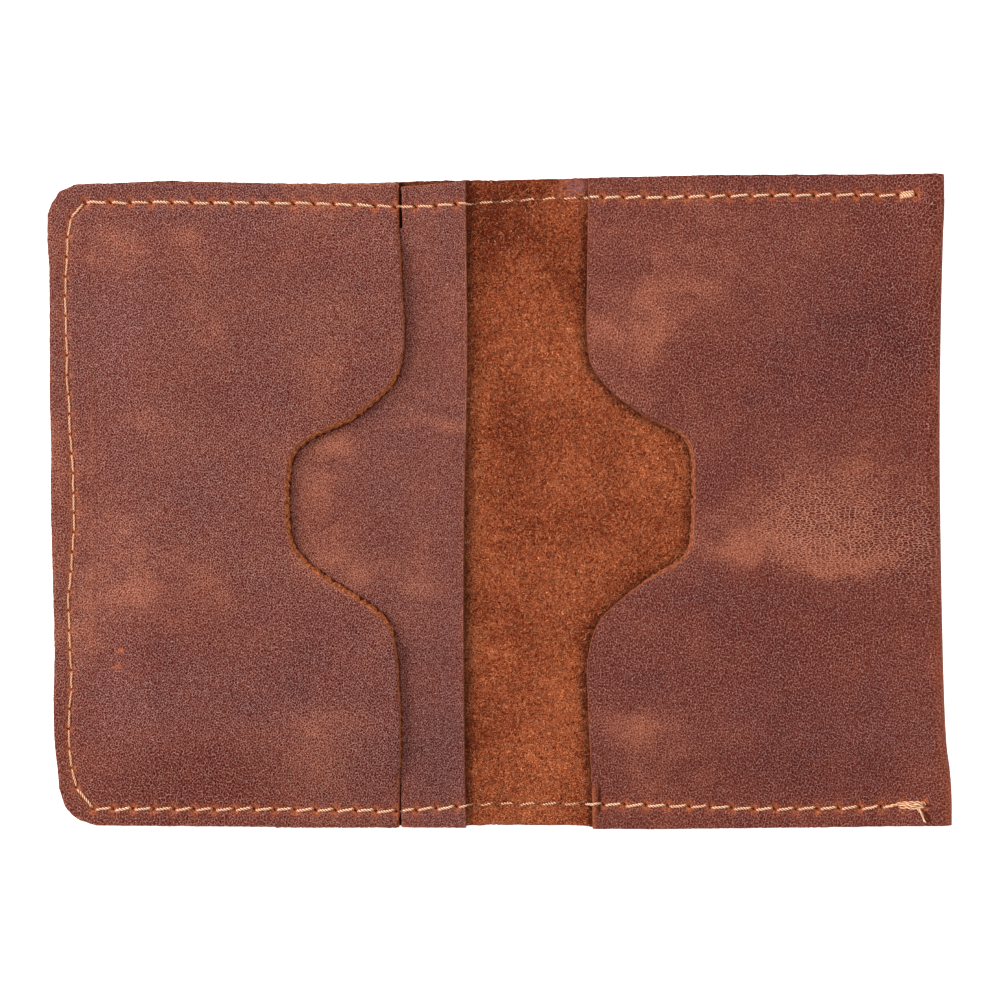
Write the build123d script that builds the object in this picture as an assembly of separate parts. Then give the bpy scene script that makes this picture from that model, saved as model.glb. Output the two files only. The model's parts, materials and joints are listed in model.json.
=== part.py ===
from build123d import *
import os
from math import atan2, degrees, hypot

# Passport holder wallet, lying open flat with its inside up. Millimetres.
# The origin is on the table under the middle of the open wallet. +X runs to the right-hand pocket,
# +Y to the top edge and +Z up. The outside of the cover lies on z = 0.

# ---- driving dimensions -------------------------------------------------------------------------
LEATHER = 1.2  # thickness of every leather piece
HALF_WIDTH = 97.5  # middle of the spine to either side edge
HALF_HEIGHT = 70.5  # middle to the top or bottom edge
CORNER_RADIUS = 7.0  # cut corners at the left edge
MOUTH_X = 20.5  # middle of the spine to either pocket's mouth
DIVIDER_X = 6.6  # middle of the spine to the divider's edge

NOTCH_DEPTH = 24.0  # thumb notch, from the mouth inwards
NOTCH_MOUTH = 26.5  # half its height at the mouth
NOTCH_INNER = 11.3  # half its height at the bottom of the notch
NOTCH_MOUTH_RADIUS = 12.0
NOTCH_INNER_RADIUS = 7.0

SEAM_INSET = 4.5  # edge to the line of stitching
SEAM_CHAMFER = 4.0  # the stitching cuts its two left corners by this much
RIM = 6.2  # edge to where a pocket starts to rise from the seam
DIVIDER_RISE = 0.9  # free height under the divider
CARD_RISE = 3.0  # free height under the card pocket panel, above the cover
FLAP_RISE = 1.6  # free height under the right-hand flap
DIVIDER_RAMP = 1.5  # how far each panel takes to rise that much
CARD_RAMP = 3.5
FLAP_RAMP = 2.0
DIVIDER_HIDDEN_X = 88.0  # middle of the spine to the divider's hidden edge
DIVIDER_SHOULDER_Y = 60.0  # half the height of the divider's hidden part
SHOULDER_GAP = 0.5  # slit between the divider's shoulders and the card pocket's rim
FLAP_RIM_END = 93.0  # where the flap's pressed rim meets the folded edge

STITCH_COUNT_LEFT = 71  # stitches from the middle of the spine round the left half and back
STITCHES_RIGHT = 20  # stitches from the middle of the spine to either end of the seam
BACKTACK = {1: 1, -1: 2}  # stitches sewn twice at the top and bottom ends of the seam
THREAD = 0.65  # thread width
BACKTACK_OFFSET = 0.27  # middle of a doubled stitch to either of its rows
SLOT = (0.8, 0.5)  # slit that the awl leaves
LEG = (0.6, 0.4)  # thread where it passes through a slit
SLANT = 30.0  # slant of a slit, in degrees
FURROW = (1.0, 0.35)  # width and depth of the furrow that sinks the outside stitches

CLOSED_GAP = 7.4  # between the two covers' inner faces when the wallet is closed
HINGE_GAP = 0.2  # clearance between the spine and either half
THREAD_CLEARANCE = 0.4  # fold line to the end of a thread's span

# ---- worked out from them -----------------------------------------------------------------------
SEAT = 2 * LEATHER  # top of two layers of leather
SEAM_Y = HALF_HEIGHT - SEAM_INSET
SEAM_X = -(HALF_WIDTH - SEAM_INSET)
RIM_X = -(HALF_WIDTH - RIM)
RIM_Y = HALF_HEIGHT - RIM
FOLD_MIDDLE = LEATHER + FLAP_RISE / 2  # height of the folded edge's centre line
FOLD_X = HALF_WIDTH - FOLD_MIDDLE  # where the folded edge starts to turn

# Closing takes 90 degrees at each of the spine's two fold lines, so the spine is as wide as the
# gap between the closed covers. The fold lines lie on the cover's inside face.
FOLD_LINE = CLOSED_GAP / 2
FAR = 200.0  # beyond every edge
LEFT = (-FAR, -FOLD_LINE)  # the stretches of X that belong to the three moving bodies
SPINE = (-FOLD_LINE, FOLD_LINE)
RIGHT = (FOLD_LINE, FAR)


def outline(corners):
    """A flat face through corners given as (x, y, fillet radius), anticlockwise."""
    face = Face(Wire.make_polygon([(x, y) for x, y, _ in corners], close=True))
    for radius in sorted({r for _, _, r in corners if r > 0}):
        places = [(x, y) for x, y, r in corners if r == radius]
        picked = [
            v for v in face.vertices() if any(hypot(v.X - x, v.Y - y) < 0.01 for x, y in places)
        ]
        face = face.fillet_2d(radius, picked)
    return face


def plate(face, bottom, top):
    """The face as a flat plate between two heights."""
    return Pos(0, 0, bottom) * Solid.extrude(face, Vector(0, 0, top - bottom))


def block(x_range, y_range, z_range):
    """A box between the given limits."""
    size = [high - low for low, high in (x_range, y_range, z_range)]
    middle = [(high + low) / 2 for low, high in (x_range, y_range, z_range)]
    return Pos(*middle) * Solid.make_box(*size, Plane((-size[0] / 2, -size[1] / 2, -size[2] / 2)))


def raised(points, bottom, rise, ramp):
    """A mound on the polygon, whose sides slope in by ramp over its rise."""
    foot = Face(Wire.make_polygon(points, close=True))
    slope = degrees(atan2(ramp, rise))
    return Pos(0, 0, bottom) * Solid.extrude_taper(foot, Vector(0, 0, rise), slope)


def pressed_panel(face, foot, rise, ramp):
    """A leather panel sewn flat to the cover at its rims and raised inside the polygon foot."""
    column = plate(face, 0, FAR)
    top = raised(foot, SEAT, rise, ramp) & column
    hollow = raised(foot, LEATHER, rise, ramp)
    return plate(face, LEATHER, SEAT) + top - hollow


def notch(mouth_x, side):
    """Corners of a thumb notch in a mouth at mouth_x, cut towards side, from -Y to +Y."""
    inner_x = mouth_x + side * NOTCH_DEPTH
    return [
        (mouth_x, -NOTCH_MOUTH, NOTCH_MOUTH_RADIUS),
        (inner_x, -NOTCH_INNER, NOTCH_INNER_RADIUS),
        (inner_x, NOTCH_INNER, NOTCH_INNER_RADIUS),
        (mouth_x, NOTCH_MOUTH, NOTCH_MOUTH_RADIUS),
    ]


# ---- the seam -----------------------------------------------------------------------------------
def left_holes():
    """Stitch holes from the spine along the top, down the left side and back along the bottom."""
    turn_x = SEAM_X + SEAM_CHAMFER
    turn_y = SEAM_Y - SEAM_CHAMFER
    path = Wire.make_polygon(
        [
            (0, SEAM_Y),
            (turn_x, SEAM_Y),
            (SEAM_X, turn_y),
            (SEAM_X, -turn_y),
            (turn_x, -SEAM_Y),
            (0, -SEAM_Y),
        ],
        close=False,
    )
    pitch = path.length / STITCH_COUNT_LEFT
    count = STITCH_COUNT_LEFT + 1
    return [path.position_at(i * pitch, PositionMode.LENGTH) for i in range(count)], pitch


LEFT_HOLES, PITCH = left_holes()
RIGHT_HOLES = {
    side: [Vector(i * PITCH, side * SEAM_Y) for i in range(STITCHES_RIGHT + 1)]
    for side in (1, -1)
}
STITCHES = [*zip(LEFT_HOLES, LEFT_HOLES[1:])]
for run in RIGHT_HOLES.values():
    STITCHES += zip(run, run[1:])
HOLES = LEFT_HOLES + RIGHT_HOLES[1][1:] + RIGHT_HOLES[-1][1:]


def inside_height(x):
    """Height of the leather under the inside stitches: one layer at the spine, two elsewhere."""
    return LEATHER if -DIVIDER_X < x < MOUTH_X else SEAT


def along(start, end, width, z_range):
    """A box of the given width along the line from start to end."""
    run = end - start
    middle = (start + end) * 0.5
    turn = degrees(atan2(run.Y, run.X))
    half = run.length / 2
    return Pos(middle.X, middle.Y, 0) * (
        Rot(0, 0, turn) * block((-half, half), (-width / 2, width / 2), z_range)
    )


def half_round(start, end, height, up):
    """A half-round span of thread on a surface at height: it bulges up, or down if up is -1."""
    run = end - start
    section = Plane(
        origin=(start.X, start.Y, height), x_dir=Vector(-run.Y, run.X, 0) * up, z_dir=run
    )
    radius = THREAD / 2
    arc = Edge.make_three_point_arc((radius, 0), (0, radius), (-radius, 0))
    flat = Edge.make_line((-radius, 0), (radius, 0))
    face = section * Face(Wire([arc, flat]))
    return Solid.extrude(face, run)


def at_hole(hole, size, z_range):
    """A slanted box at a stitch hole."""
    half_x, half_y = size[0] / 2, size[1] / 2
    return Pos(hole.X, hole.Y, 0) * (
        Rot(0, 0, SLANT) * block((-half_x, half_x), (-half_y, half_y), z_range)
    )


def limits(x_range):
    """The stretch of X that a thread has between two fold lines."""
    return x_range[0] + THREAD_CLEARANCE, x_range[1] - THREAD_CLEARANCE


def clipped(start, end, x_range):
    """The part of a stitch between two values of X, or None. Only level stitches are cut."""
    low, high = x_range
    if low <= min(start.X, end.X) and max(start.X, end.X) <= high:
        return start, end
    first = min(max(start.X, low), high)
    last = min(max(end.X, low), high)
    if abs(last - first) < THREAD / 2:
        return None
    return Vector(first, start.Y), Vector(last, end.Y)


def rows(start, end):
    """Offsets of a stitch's rows of thread: two side by side in the backtacks, else one."""
    doubled = BACKTACK[1 if start.Y > 0 else -1]
    end_x = (STITCHES_RIGHT - doubled - 0.5) * PITCH
    return (-BACKTACK_OFFSET, BACKTACK_OFFSET) if min(start.X, end.X) > end_x else (0,)


def inside_spans(start, end):
    """An inside stitch as spans, with a riser where it crosses the edge of a panel."""
    solids = []
    for offset in rows(start, end):
        first, last = start + Vector(0, offset), end + Vector(0, offset)
        low_x, high_x = min(first.X, last.X), max(first.X, last.X)
        level = abs(first.Y - last.Y) < 0.01
        edges = [x for x in (-DIVIDER_X, MOUTH_X) if level and low_x < x < high_x]
        if not edges:
            height = inside_height((low_x + high_x) / 2)
            solids.append(half_round(first, last, height, 1))
            continue
        edge = edges[0]
        down = 1 if edge < 0 else -1  # the side of the edge where the spine lies
        high_end = low_x if down > 0 else high_x
        low_end = high_x if down > 0 else low_x
        over = edge + down * THREAD
        y = first.Y
        solids.append(half_round(Vector(high_end, y), Vector(over, y), SEAT, 1))
        solids.append(half_round(Vector(edge, y), Vector(low_end, y), LEATHER, 1))
        riser = along(Vector(edge, y), Vector(over, y), THREAD * 0.9, (LEATHER, SEAT))
        solids.append(riser)
    return solids


def joined(solids):
    """The solids fused, as one shape."""
    return solids[0].fuse(*solids[1:]) if len(solids) > 1 else solids[0]


def needle_thread(x_range, extra=()):
    """The seam's inside thread between two fold lines."""
    inner = limits(x_range)
    solids = list(extra)
    for start, end in STITCHES:
        part = clipped(start, end, inner)
        if part:
            solids += inside_spans(*part)
    for hole in HOLES:
        if inner[0] < hole.X < inner[1]:
            top = inside_height(hole.X)
            knot = (top + FURROW[1]) / 2 if top == LEATHER else LEATHER
            solids.append(at_hole(hole, LEG, (knot, top + THREAD / 4)))
    return joined(solids)


def bobbin_thread(x_range):
    """The seam's outside thread between two fold lines, sunk in the furrow."""
    inner = limits(x_range)
    solids = []
    for start, end in STITCHES:
        part = clipped(start, end, inner)
        if part:
            solids.append(half_round(*part, FURROW[1], -1))
    for hole in HOLES:
        if inner[0] < hole.X < inner[1]:
            top = inside_height(hole.X)
            knot = (top + FURROW[1]) / 2 if top == LEATHER else LEATHER
            solids.append(at_hole(hole, LEG, (FURROW[1] - THREAD / 4, knot)))
    return joined(solids)


def thread_tail():
    """The loose end that the seam leaves at the bottom right."""
    end = RIGHT_HOLES[-1][-1]
    bend = Vector(end.X + 2.0, end.Y - 1.0)
    tip = Vector(bend.X + 0.9, bend.Y - 2.6)
    return [half_round(end, bend, SEAT, 1), half_round(bend, tip, SEAT, 1)]


def pierced(shape, x_range):
    """The leather with a slit at each stitch hole between two values of X."""
    low, high = x_range
    slits = [at_hole(h, SLOT, (-1, FAR)) for h in HOLES if low < h.X < high]
    return shape.cut(*slits) if slits else shape


def furrowed(shape, x_range):
    """The cover with the furrow of the outside stitches cut into its underside."""
    width, depth = FURROW
    low, high = x_range
    cuts = []
    for start, end in STITCHES:
        if max(start.X, end.X) < low or min(start.X, end.X) > high:
            continue
        reach = (end - start).normalized() * (width / 2)
        cuts.append(along(start - reach, end + reach, width, (-1, depth)))
    return shape.cut(*cuts) if cuts else shape


# ---- leather ------------------------------------------------------------------------------------
def cover_left():
    """The cover's left half, up to its fold line."""
    high = -FOLD_LINE - HINGE_GAP / 2
    face = outline(
        [
            (-HALF_WIDTH, -HALF_HEIGHT, CORNER_RADIUS),
            (high, -HALF_HEIGHT, 0),
            (high, HALF_HEIGHT, 0),
            (-HALF_WIDTH, HALF_HEIGHT, CORNER_RADIUS),
        ]
    )
    x_range = (-FAR, high)
    return furrowed(pierced(plate(face, 0, LEATHER), x_range), x_range)


def cover_sheet(x_range):
    """The cover between two values of X, as a rectangle."""
    sheet = block(x_range, (-HALF_HEIGHT, HALF_HEIGHT), (0, LEATHER))
    return furrowed(pierced(sheet, x_range), x_range)


def cover_edge_fold(z_range):
    """The part between two heights of the half ring where the cover turns over at the right."""
    axis = Plane((FOLD_X, -HALF_HEIGHT, FOLD_MIDDLE), x_dir=(1, 0, 0), z_dir=(0, 1, 0))
    ring = Solid.make_cylinder(FOLD_MIDDLE, 2 * HALF_HEIGHT, axis)
    ring -= Solid.make_cylinder(FOLD_MIDDLE - LEATHER, 2 * HALF_HEIGHT, axis)
    return ring & block((FOLD_X, FAR), (-FAR, FAR), z_range)


def cover_flap():
    """The cover's end, folded back as the right-hand pocket, with a thumb notch."""
    face = outline(
        [
            (FOLD_X, HALF_HEIGHT, 0),
            (MOUTH_X, HALF_HEIGHT, 0),
            *reversed(notch(MOUTH_X, 1)),
            (MOUTH_X, -HALF_HEIGHT, 0),
            (FOLD_X, -HALF_HEIGHT, 0),
        ]
    )
    foot = [
        (-FAR, -RIM_Y),
        (FLAP_RIM_END, -RIM_Y),
        (FLAP_RIM_END, -FAR),
        (FAR, -FAR),
        (FAR, FAR),
        (FLAP_RIM_END, FAR),
        (FLAP_RIM_END, RIM_Y),
        (-FAR, RIM_Y),
    ]
    panel = pressed_panel(face, foot, FLAP_RISE, FLAP_RAMP)
    return pierced(panel, (MOUTH_X, FAR))


def card_pocket_panel():
    """The front left panel, with a thumb notch in its mouth."""
    face = outline(
        [
            (-HALF_WIDTH, -HALF_HEIGHT, CORNER_RADIUS),
            (-MOUTH_X, -HALF_HEIGHT, 0),
            *notch(-MOUTH_X, -1),
            (-MOUTH_X, HALF_HEIGHT, 0),
            (-HALF_WIDTH, HALF_HEIGHT, CORNER_RADIUS),
        ]
    )
    cut = SEAM_CHAMFER - (RIM - SEAM_INSET) * (2 - 2**0.5)
    foot = [
        (RIM_X, -RIM_Y + cut),
        (RIM_X + cut, -RIM_Y),
        (FAR, -RIM_Y),
        (FAR, RIM_Y),
        (RIM_X + cut, RIM_Y),
        (RIM_X, RIM_Y - cut),
    ]
    panel = pressed_panel(face, foot, CARD_RISE, CARD_RAMP)
    return pierced(panel, (-FAR, -MOUTH_X))


def divider(y_range):
    """The part between two values of Y of the T-shaped panel behind the card pocket."""
    shoulder_x = -(MOUTH_X - SHOULDER_GAP)
    face = outline(
        [
            (-DIVIDER_HIDDEN_X, -DIVIDER_SHOULDER_Y, 4.0),
            (shoulder_x, -DIVIDER_SHOULDER_Y, 0),
            (shoulder_x, -HALF_HEIGHT, 0),
            (-DIVIDER_X, -HALF_HEIGHT, 0),
            (-DIVIDER_X, HALF_HEIGHT, 0),
            (shoulder_x, HALF_HEIGHT, 0),
            (shoulder_x, DIVIDER_SHOULDER_Y, 0),
            (-DIVIDER_HIDDEN_X, DIVIDER_SHOULDER_Y, 4.0),
        ]
    )
    foot = [(-FAR, -RIM_Y), (FAR, -RIM_Y), (FAR, RIM_Y), (-FAR, RIM_Y)]
    panel = pressed_panel(face, foot, DIVIDER_RISE, DIVIDER_RAMP)
    panel = pierced(panel, (shoulder_x, -DIVIDER_X))
    return panel & block((-FAR, FAR), y_range, (0, FAR))


def main():
    # The divider's free stretch, which stands clear of the cover, is apart from its two sewn tabs,
    # and the folded edge is in two quarter rings, so that each piece keeps its hollow side open.
    free_y = RIM_Y - DIVIDER_RAMP
    nodes = {
        "cover_left": cover_left(),
        "divider_panel": divider((-free_y, free_y)),
        "divider_tab_top": divider((free_y, FAR)),
        "divider_tab_bottom": divider((-FAR, -free_y)),
        "card_pocket_panel": card_pocket_panel(),
        "cover_spine": cover_sheet((-FOLD_LINE + HINGE_GAP / 2, FOLD_LINE - HINGE_GAP / 2)),
        "cover_right": cover_sheet((FOLD_LINE + HINGE_GAP / 2, FOLD_X)),
        "cover_edge_fold_lower": cover_edge_fold((0, FOLD_MIDDLE)),
        "cover_edge_fold_upper": cover_edge_fold((FOLD_MIDDLE, FAR)),
        "cover_flap": cover_flap(),
        "needle_thread_left": needle_thread(LEFT),
        "needle_thread_spine": needle_thread(SPINE),
        "needle_thread_right": needle_thread(RIGHT, thread_tail()),
        "bobbin_thread_left": bobbin_thread(LEFT),
        "bobbin_thread_spine": bobbin_thread(SPINE),
        "bobbin_thread_right": bobbin_thread(RIGHT),
    }
    os.makedirs("parts", exist_ok=True)
    for name, shape in nodes.items():
        shape.label = name
        export_step(shape, f"parts/{name}.step")
        box = shape.bounding_box()
        print(f"{name}: {box.size.X:.2f} x {box.size.Y:.2f} x {box.size.Z:.2f}")


main()
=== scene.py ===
import json
import math

import bpy
import numpy as np
from mathutils import Vector, kdtree, noise
from mathutils.geometry import delaunay_2d_cdt

# A passport holder wallet of waxed leather, lying open with its inside up.
# Lengths here are in millimetres in the frame's own axes: X to the right, Y up the page, Z off the table.
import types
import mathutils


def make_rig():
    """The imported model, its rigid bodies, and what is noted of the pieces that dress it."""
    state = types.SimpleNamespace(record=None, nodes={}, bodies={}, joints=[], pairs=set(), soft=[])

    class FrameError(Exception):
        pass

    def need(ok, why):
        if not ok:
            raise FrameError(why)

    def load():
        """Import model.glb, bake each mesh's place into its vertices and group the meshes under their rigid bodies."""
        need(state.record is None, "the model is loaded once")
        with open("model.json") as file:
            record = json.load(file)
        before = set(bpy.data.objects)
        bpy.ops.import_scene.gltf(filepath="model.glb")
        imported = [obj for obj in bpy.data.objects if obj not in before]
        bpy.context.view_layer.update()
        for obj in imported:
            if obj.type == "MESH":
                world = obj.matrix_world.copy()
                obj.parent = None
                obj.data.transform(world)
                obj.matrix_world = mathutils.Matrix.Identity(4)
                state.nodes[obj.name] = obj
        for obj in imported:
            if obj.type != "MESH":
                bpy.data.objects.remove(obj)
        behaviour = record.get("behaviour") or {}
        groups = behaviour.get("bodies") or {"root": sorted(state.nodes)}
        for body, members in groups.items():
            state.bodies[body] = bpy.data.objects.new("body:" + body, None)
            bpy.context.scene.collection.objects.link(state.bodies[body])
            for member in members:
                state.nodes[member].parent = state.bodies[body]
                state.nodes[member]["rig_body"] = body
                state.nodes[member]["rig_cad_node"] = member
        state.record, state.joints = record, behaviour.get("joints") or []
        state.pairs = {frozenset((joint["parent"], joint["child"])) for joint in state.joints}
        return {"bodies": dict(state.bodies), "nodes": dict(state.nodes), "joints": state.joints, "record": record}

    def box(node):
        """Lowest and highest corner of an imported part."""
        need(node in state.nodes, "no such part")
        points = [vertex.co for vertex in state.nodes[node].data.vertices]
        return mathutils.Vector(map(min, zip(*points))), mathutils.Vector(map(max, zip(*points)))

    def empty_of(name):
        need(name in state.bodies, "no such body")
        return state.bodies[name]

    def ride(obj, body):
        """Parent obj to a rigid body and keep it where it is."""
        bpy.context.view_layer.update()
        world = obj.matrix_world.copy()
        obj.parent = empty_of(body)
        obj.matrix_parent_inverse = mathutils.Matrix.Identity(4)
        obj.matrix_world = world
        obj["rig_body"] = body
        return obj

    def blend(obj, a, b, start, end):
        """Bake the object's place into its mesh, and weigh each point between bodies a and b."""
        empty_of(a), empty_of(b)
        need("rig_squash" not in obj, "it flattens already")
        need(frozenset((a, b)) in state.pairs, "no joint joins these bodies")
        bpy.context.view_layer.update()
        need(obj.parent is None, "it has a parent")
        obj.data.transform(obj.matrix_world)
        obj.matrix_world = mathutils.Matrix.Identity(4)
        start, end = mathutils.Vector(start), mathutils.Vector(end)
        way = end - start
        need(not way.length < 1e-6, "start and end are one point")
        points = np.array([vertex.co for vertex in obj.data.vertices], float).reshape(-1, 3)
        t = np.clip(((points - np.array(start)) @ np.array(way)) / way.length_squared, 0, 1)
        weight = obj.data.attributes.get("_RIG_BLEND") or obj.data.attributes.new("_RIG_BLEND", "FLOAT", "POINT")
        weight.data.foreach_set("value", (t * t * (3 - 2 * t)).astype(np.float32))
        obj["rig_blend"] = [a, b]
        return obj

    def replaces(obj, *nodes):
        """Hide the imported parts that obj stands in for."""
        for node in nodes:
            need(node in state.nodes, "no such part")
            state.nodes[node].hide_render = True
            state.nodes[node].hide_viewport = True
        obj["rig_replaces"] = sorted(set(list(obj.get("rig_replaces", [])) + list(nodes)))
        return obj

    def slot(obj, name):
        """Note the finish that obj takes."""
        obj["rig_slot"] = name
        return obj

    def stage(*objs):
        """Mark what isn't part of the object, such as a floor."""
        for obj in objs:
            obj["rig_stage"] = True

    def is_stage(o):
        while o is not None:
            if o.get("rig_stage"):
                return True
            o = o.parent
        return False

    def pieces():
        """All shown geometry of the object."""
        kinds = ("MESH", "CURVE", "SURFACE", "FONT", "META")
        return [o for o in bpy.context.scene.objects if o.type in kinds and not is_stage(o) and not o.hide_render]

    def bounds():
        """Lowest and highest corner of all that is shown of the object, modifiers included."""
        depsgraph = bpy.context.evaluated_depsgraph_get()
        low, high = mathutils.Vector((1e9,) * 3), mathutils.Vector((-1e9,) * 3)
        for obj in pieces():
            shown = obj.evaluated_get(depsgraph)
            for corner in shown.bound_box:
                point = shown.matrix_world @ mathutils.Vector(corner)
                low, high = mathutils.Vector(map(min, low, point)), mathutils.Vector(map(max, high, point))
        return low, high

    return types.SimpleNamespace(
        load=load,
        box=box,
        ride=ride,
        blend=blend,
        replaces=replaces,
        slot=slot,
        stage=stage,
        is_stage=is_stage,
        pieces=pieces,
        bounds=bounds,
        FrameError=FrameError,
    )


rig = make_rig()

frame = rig.load()
cad_low, cad_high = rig.bounds()
MM = 0.001


def edge_of(node, corner, axis):
    """One side of a CAD node's box, in millimetres: corner 0 is the low side and 1 the high side."""
    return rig.box(node)[corner][axis] / MM


# ------------------------ driving dimensions

LEATHER = edge_of("cover_spine", 1, 2)            # thickness of the hide
RIM = 2 * LEATHER                                 # top of a panel where it is sewn to the cover
POCKET_TOP = edge_of("card_pocket_panel", 1, 2)
DIVIDER_TOP = edge_of("divider_panel", 1, 2)
FLAP_TOP = edge_of("cover_flap", 1, 2)
DIVIDER_EDGE = edge_of("divider_panel", 1, 0)     # the divider's bare right edge
DIVIDER_TAB = edge_of("divider_tab_top", 0, 0)
DIVIDER_HIDDEN = edge_of("divider_panel", 0, 0)
POCKET_PUFF = 0.70 * (POCKET_TOP - RIM)           # how far the empty pocket stands over its seam
HINGE = abs(frame["joints"][0]["pos_m"][0]) / MM  # each fold's distance from the spine's middle
HINGE_REACH = 3.4                                 # how far a bend spreads to each side of a hinge

CUT_ROUGH = 0.45                                  # how unevenly a slanting cut leans out
CUT_STEP = 0.4                                    # spacing of points along a cut edge
SHEET_STEP = 0.85                                 # spacing of points over a panel
CLOSE_STEP = 0.44                                 # spacing of points in folds and along overlaps
SEAM_STEP = 0.34                                  # spacing of points beside the stitches
SEAM_BAND = 2.2                                   # how far the closer spacing reaches from the seam
PLAIN_STEP = 2.1                                  # spacing of points under the flap
PLAIN_BAND = 1.2                                  # how far the closer spacing reaches there
ROW_SPACING = 0.866                               # distance of rows as a share of that of their points

THREAD = 0.31                                     # radius of the sewing thread
STITCHES_TOP_LEFT, STITCHES_SIDE, STITCHES_BOTTOM_LEFT = 19, 29, 20
STITCHES_TOP_RIGHT, STITCHES_BOTTOM_RIGHT = 19, 20
HOLE_DEPTH = 0.5

FOLD_HIGH = FLAP_TOP / 2                          # half height of the soft fold at the right edge
FOLD_WIDE = 3.4                                   # how far the fold bulges out
FOLD_ARC = math.hypot(FOLD_WIDE - LEATHER / 2, FOLD_HIGH - LEATHER / 2) / math.sqrt(2)
PAST_FOLD = 120                                   # X on the flat strip that only the flap reaches
NOTCH_START = -48                                 # X that the pocket's mouth stays right of
POCKET_MOUTH, FLAP_MOUTH = -21.2, 20.4            # X of the mouths at their straight ends


# ------------------------ small tools

def smooth(value, low, high):
    """0 below low, 1 above high and an even S between them. Low may be the larger one."""
    t = np.clip((np.asarray(value, float) - low) / (high - low), 0, 1)
    return t * t * (3 - 2 * t)


def ripple(points, size, seed, octaves=2):
    """Smooth noise of about -1 to 1 at each point, with features about size mm across."""
    size = np.broadcast_to(size, (2,))
    return np.array([noise.fractal(Vector((x / size[0], y / size[1], seed)), 1.0, 2.0, octaves)
                     for x, y in points[:, :2]])


def bell(points, x, y, wide, high):
    """A soft round patch: 1 at its middle and near 0 past its half sizes."""
    return np.exp(-((points[:, 0] - x) / wide) ** 2 - ((points[:, 1] - y) / high) ** 2)


def run_along(points):
    """How far along an open line each of its points lies."""
    return np.r_[0, np.cumsum(np.linalg.norm(np.diff(points, axis=0), axis=1))]


def resampled(points, step=CUT_STEP):
    """Evenly spaced points along straight runs between the given ones."""
    points = np.asarray(points, float)
    run = run_along(points)
    at = np.linspace(0, run[-1], max(2, round(run[-1] / step) + 1))
    return np.stack([np.interp(at, run, column) for column in points.T], axis=1)


def curved(points, step=CUT_STEP):
    """Evenly spaced points along one smooth curve through the given ones."""
    given = np.asarray(points, float)
    ends = np.vstack([2 * given[0] - given[1], given, 2 * given[-1] - given[-2]])
    t = np.linspace(0, 1, 12, endpoint=False)[:, None]
    runs = []
    for a, b, c, d in zip(ends, ends[1:], ends[2:], ends[3:]):
        runs.append(0.5 * (2 * b + (c - a) * t + (2 * a - 5 * b + 4 * c - d) * t ** 2
                           + (3 * b - a - 3 * c + d) * t ** 3))
    return resampled(np.vstack(runs + [given[-1:]]), step)


def closed(*runs):
    """One counter-clockwise ring from runs that follow each other, without doubled points."""
    points = np.vstack(runs)
    gap = np.linalg.norm(points - np.roll(points, 1, axis=0), axis=1)
    points = points[gap > 0.3 * CUT_STEP]
    x, y = points.T
    if np.sum(x * np.roll(y, -1) - np.roll(x, -1) * y) < 0:
        points = points[::-1]
    return points


def outward(ring):
    """Unit normals that point out of a counter-clockwise ring."""
    along = np.roll(ring, -1, axis=0) - np.roll(ring, 1, axis=0)
    normal = np.stack([along[:, 1], -along[:, 0]], axis=1)
    return normal / np.linalg.norm(normal, axis=1)[:, None]


def run_around(ring):
    """How far along a closed ring each of its points lies."""
    return np.cumsum(np.linalg.norm(ring - np.roll(ring, 1, axis=0), axis=1))


def wave(run, size, seed, layer):
    """Smooth noise of about -1 to 1 along a line, with features about size mm long."""
    return np.array([noise.noise(Vector((s / size, seed, layer))) for s in run])


def ragged(ring, amount, size, seed, held=False):
    """The ring with the small wander of a hand cut. Held points, a mask, stay where they are."""
    run = run_around(ring)
    wander = wave(run, size, seed, 0) + 0.5 * wave(run, size / 4, seed, 5)
    return ring + outward(ring) * (wander * amount * ~np.asarray(held))[:, None]


def inside(points, ring):
    """True for each point that lies in the ring."""
    x, y = points.T
    found = np.zeros(len(points), bool)
    for (ax, ay), (bx, by) in zip(ring, np.roll(ring, -1, axis=0)):
        if ay != by:
            found ^= ((ay > y) != (by > y)) & (x < (bx - ax) * (y - ay) / (by - ay) + ax)
    return found


def tree_of(points):
    """A search tree over flat points."""
    tree = kdtree.KDTree(len(points))
    for i, (x, y) in enumerate(points):
        tree.insert((x, y, 0), i)
    tree.balance()
    return tree


def nearest(points, tree):
    """For each point, how far the tree's nearest point is, and which one it is."""
    found = [tree.find((x, y, 0)) for x, y in points[:, :2]]
    return np.array([f[2] for f in found]), np.array([f[1] for f in found])


# ------------------------ the line of stitches

SEAM_TOP_LEFT = [(0.0, 65.0), (-7.4, 64.4), (-20.9, 63.7), (-35.2, 64.3), (-60.0, 64.6), (-83.9, 64.7)]
CORNER_HOLE = (-89.3, 64.6)
SEAM_LEFT = [(-92.5, 61.4), (-93.1, 56.9), (-93.6, 44.0), (-93.2, 29.6), (-92.3, 13.1), (-91.6, -2.0),
             (-92.3, -14.0), (-92.8, -24.0), (-92.3, -39.6), (-92.9, -52.0), (-91.3, -62.3)]
SEAM_BOTTOM_LEFT = [(-87.6, -66.9), (-60.0, -67.0), (-33.9, -67.2), (-20.9, -67.4), (-7.4, -66.3),
                    (0.0, -65.9)]
SEAM_TOP_RIGHT = [(0.0, 65.0), (19.3, 65.8), (35.5, 65.8), (60.0, 66.2), (87.3, 66.3)]
LAST_TOP_HOLE = (91.0, 66.3)
SEAM_BOTTOM_RIGHT = [(0.0, -65.9), (14.8, -65.9), (35.5, -66.2), (56.6, -66.9), (70.7, -66.9), (83.6, -66.5),
                     (92.8, -65.7)]


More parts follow.
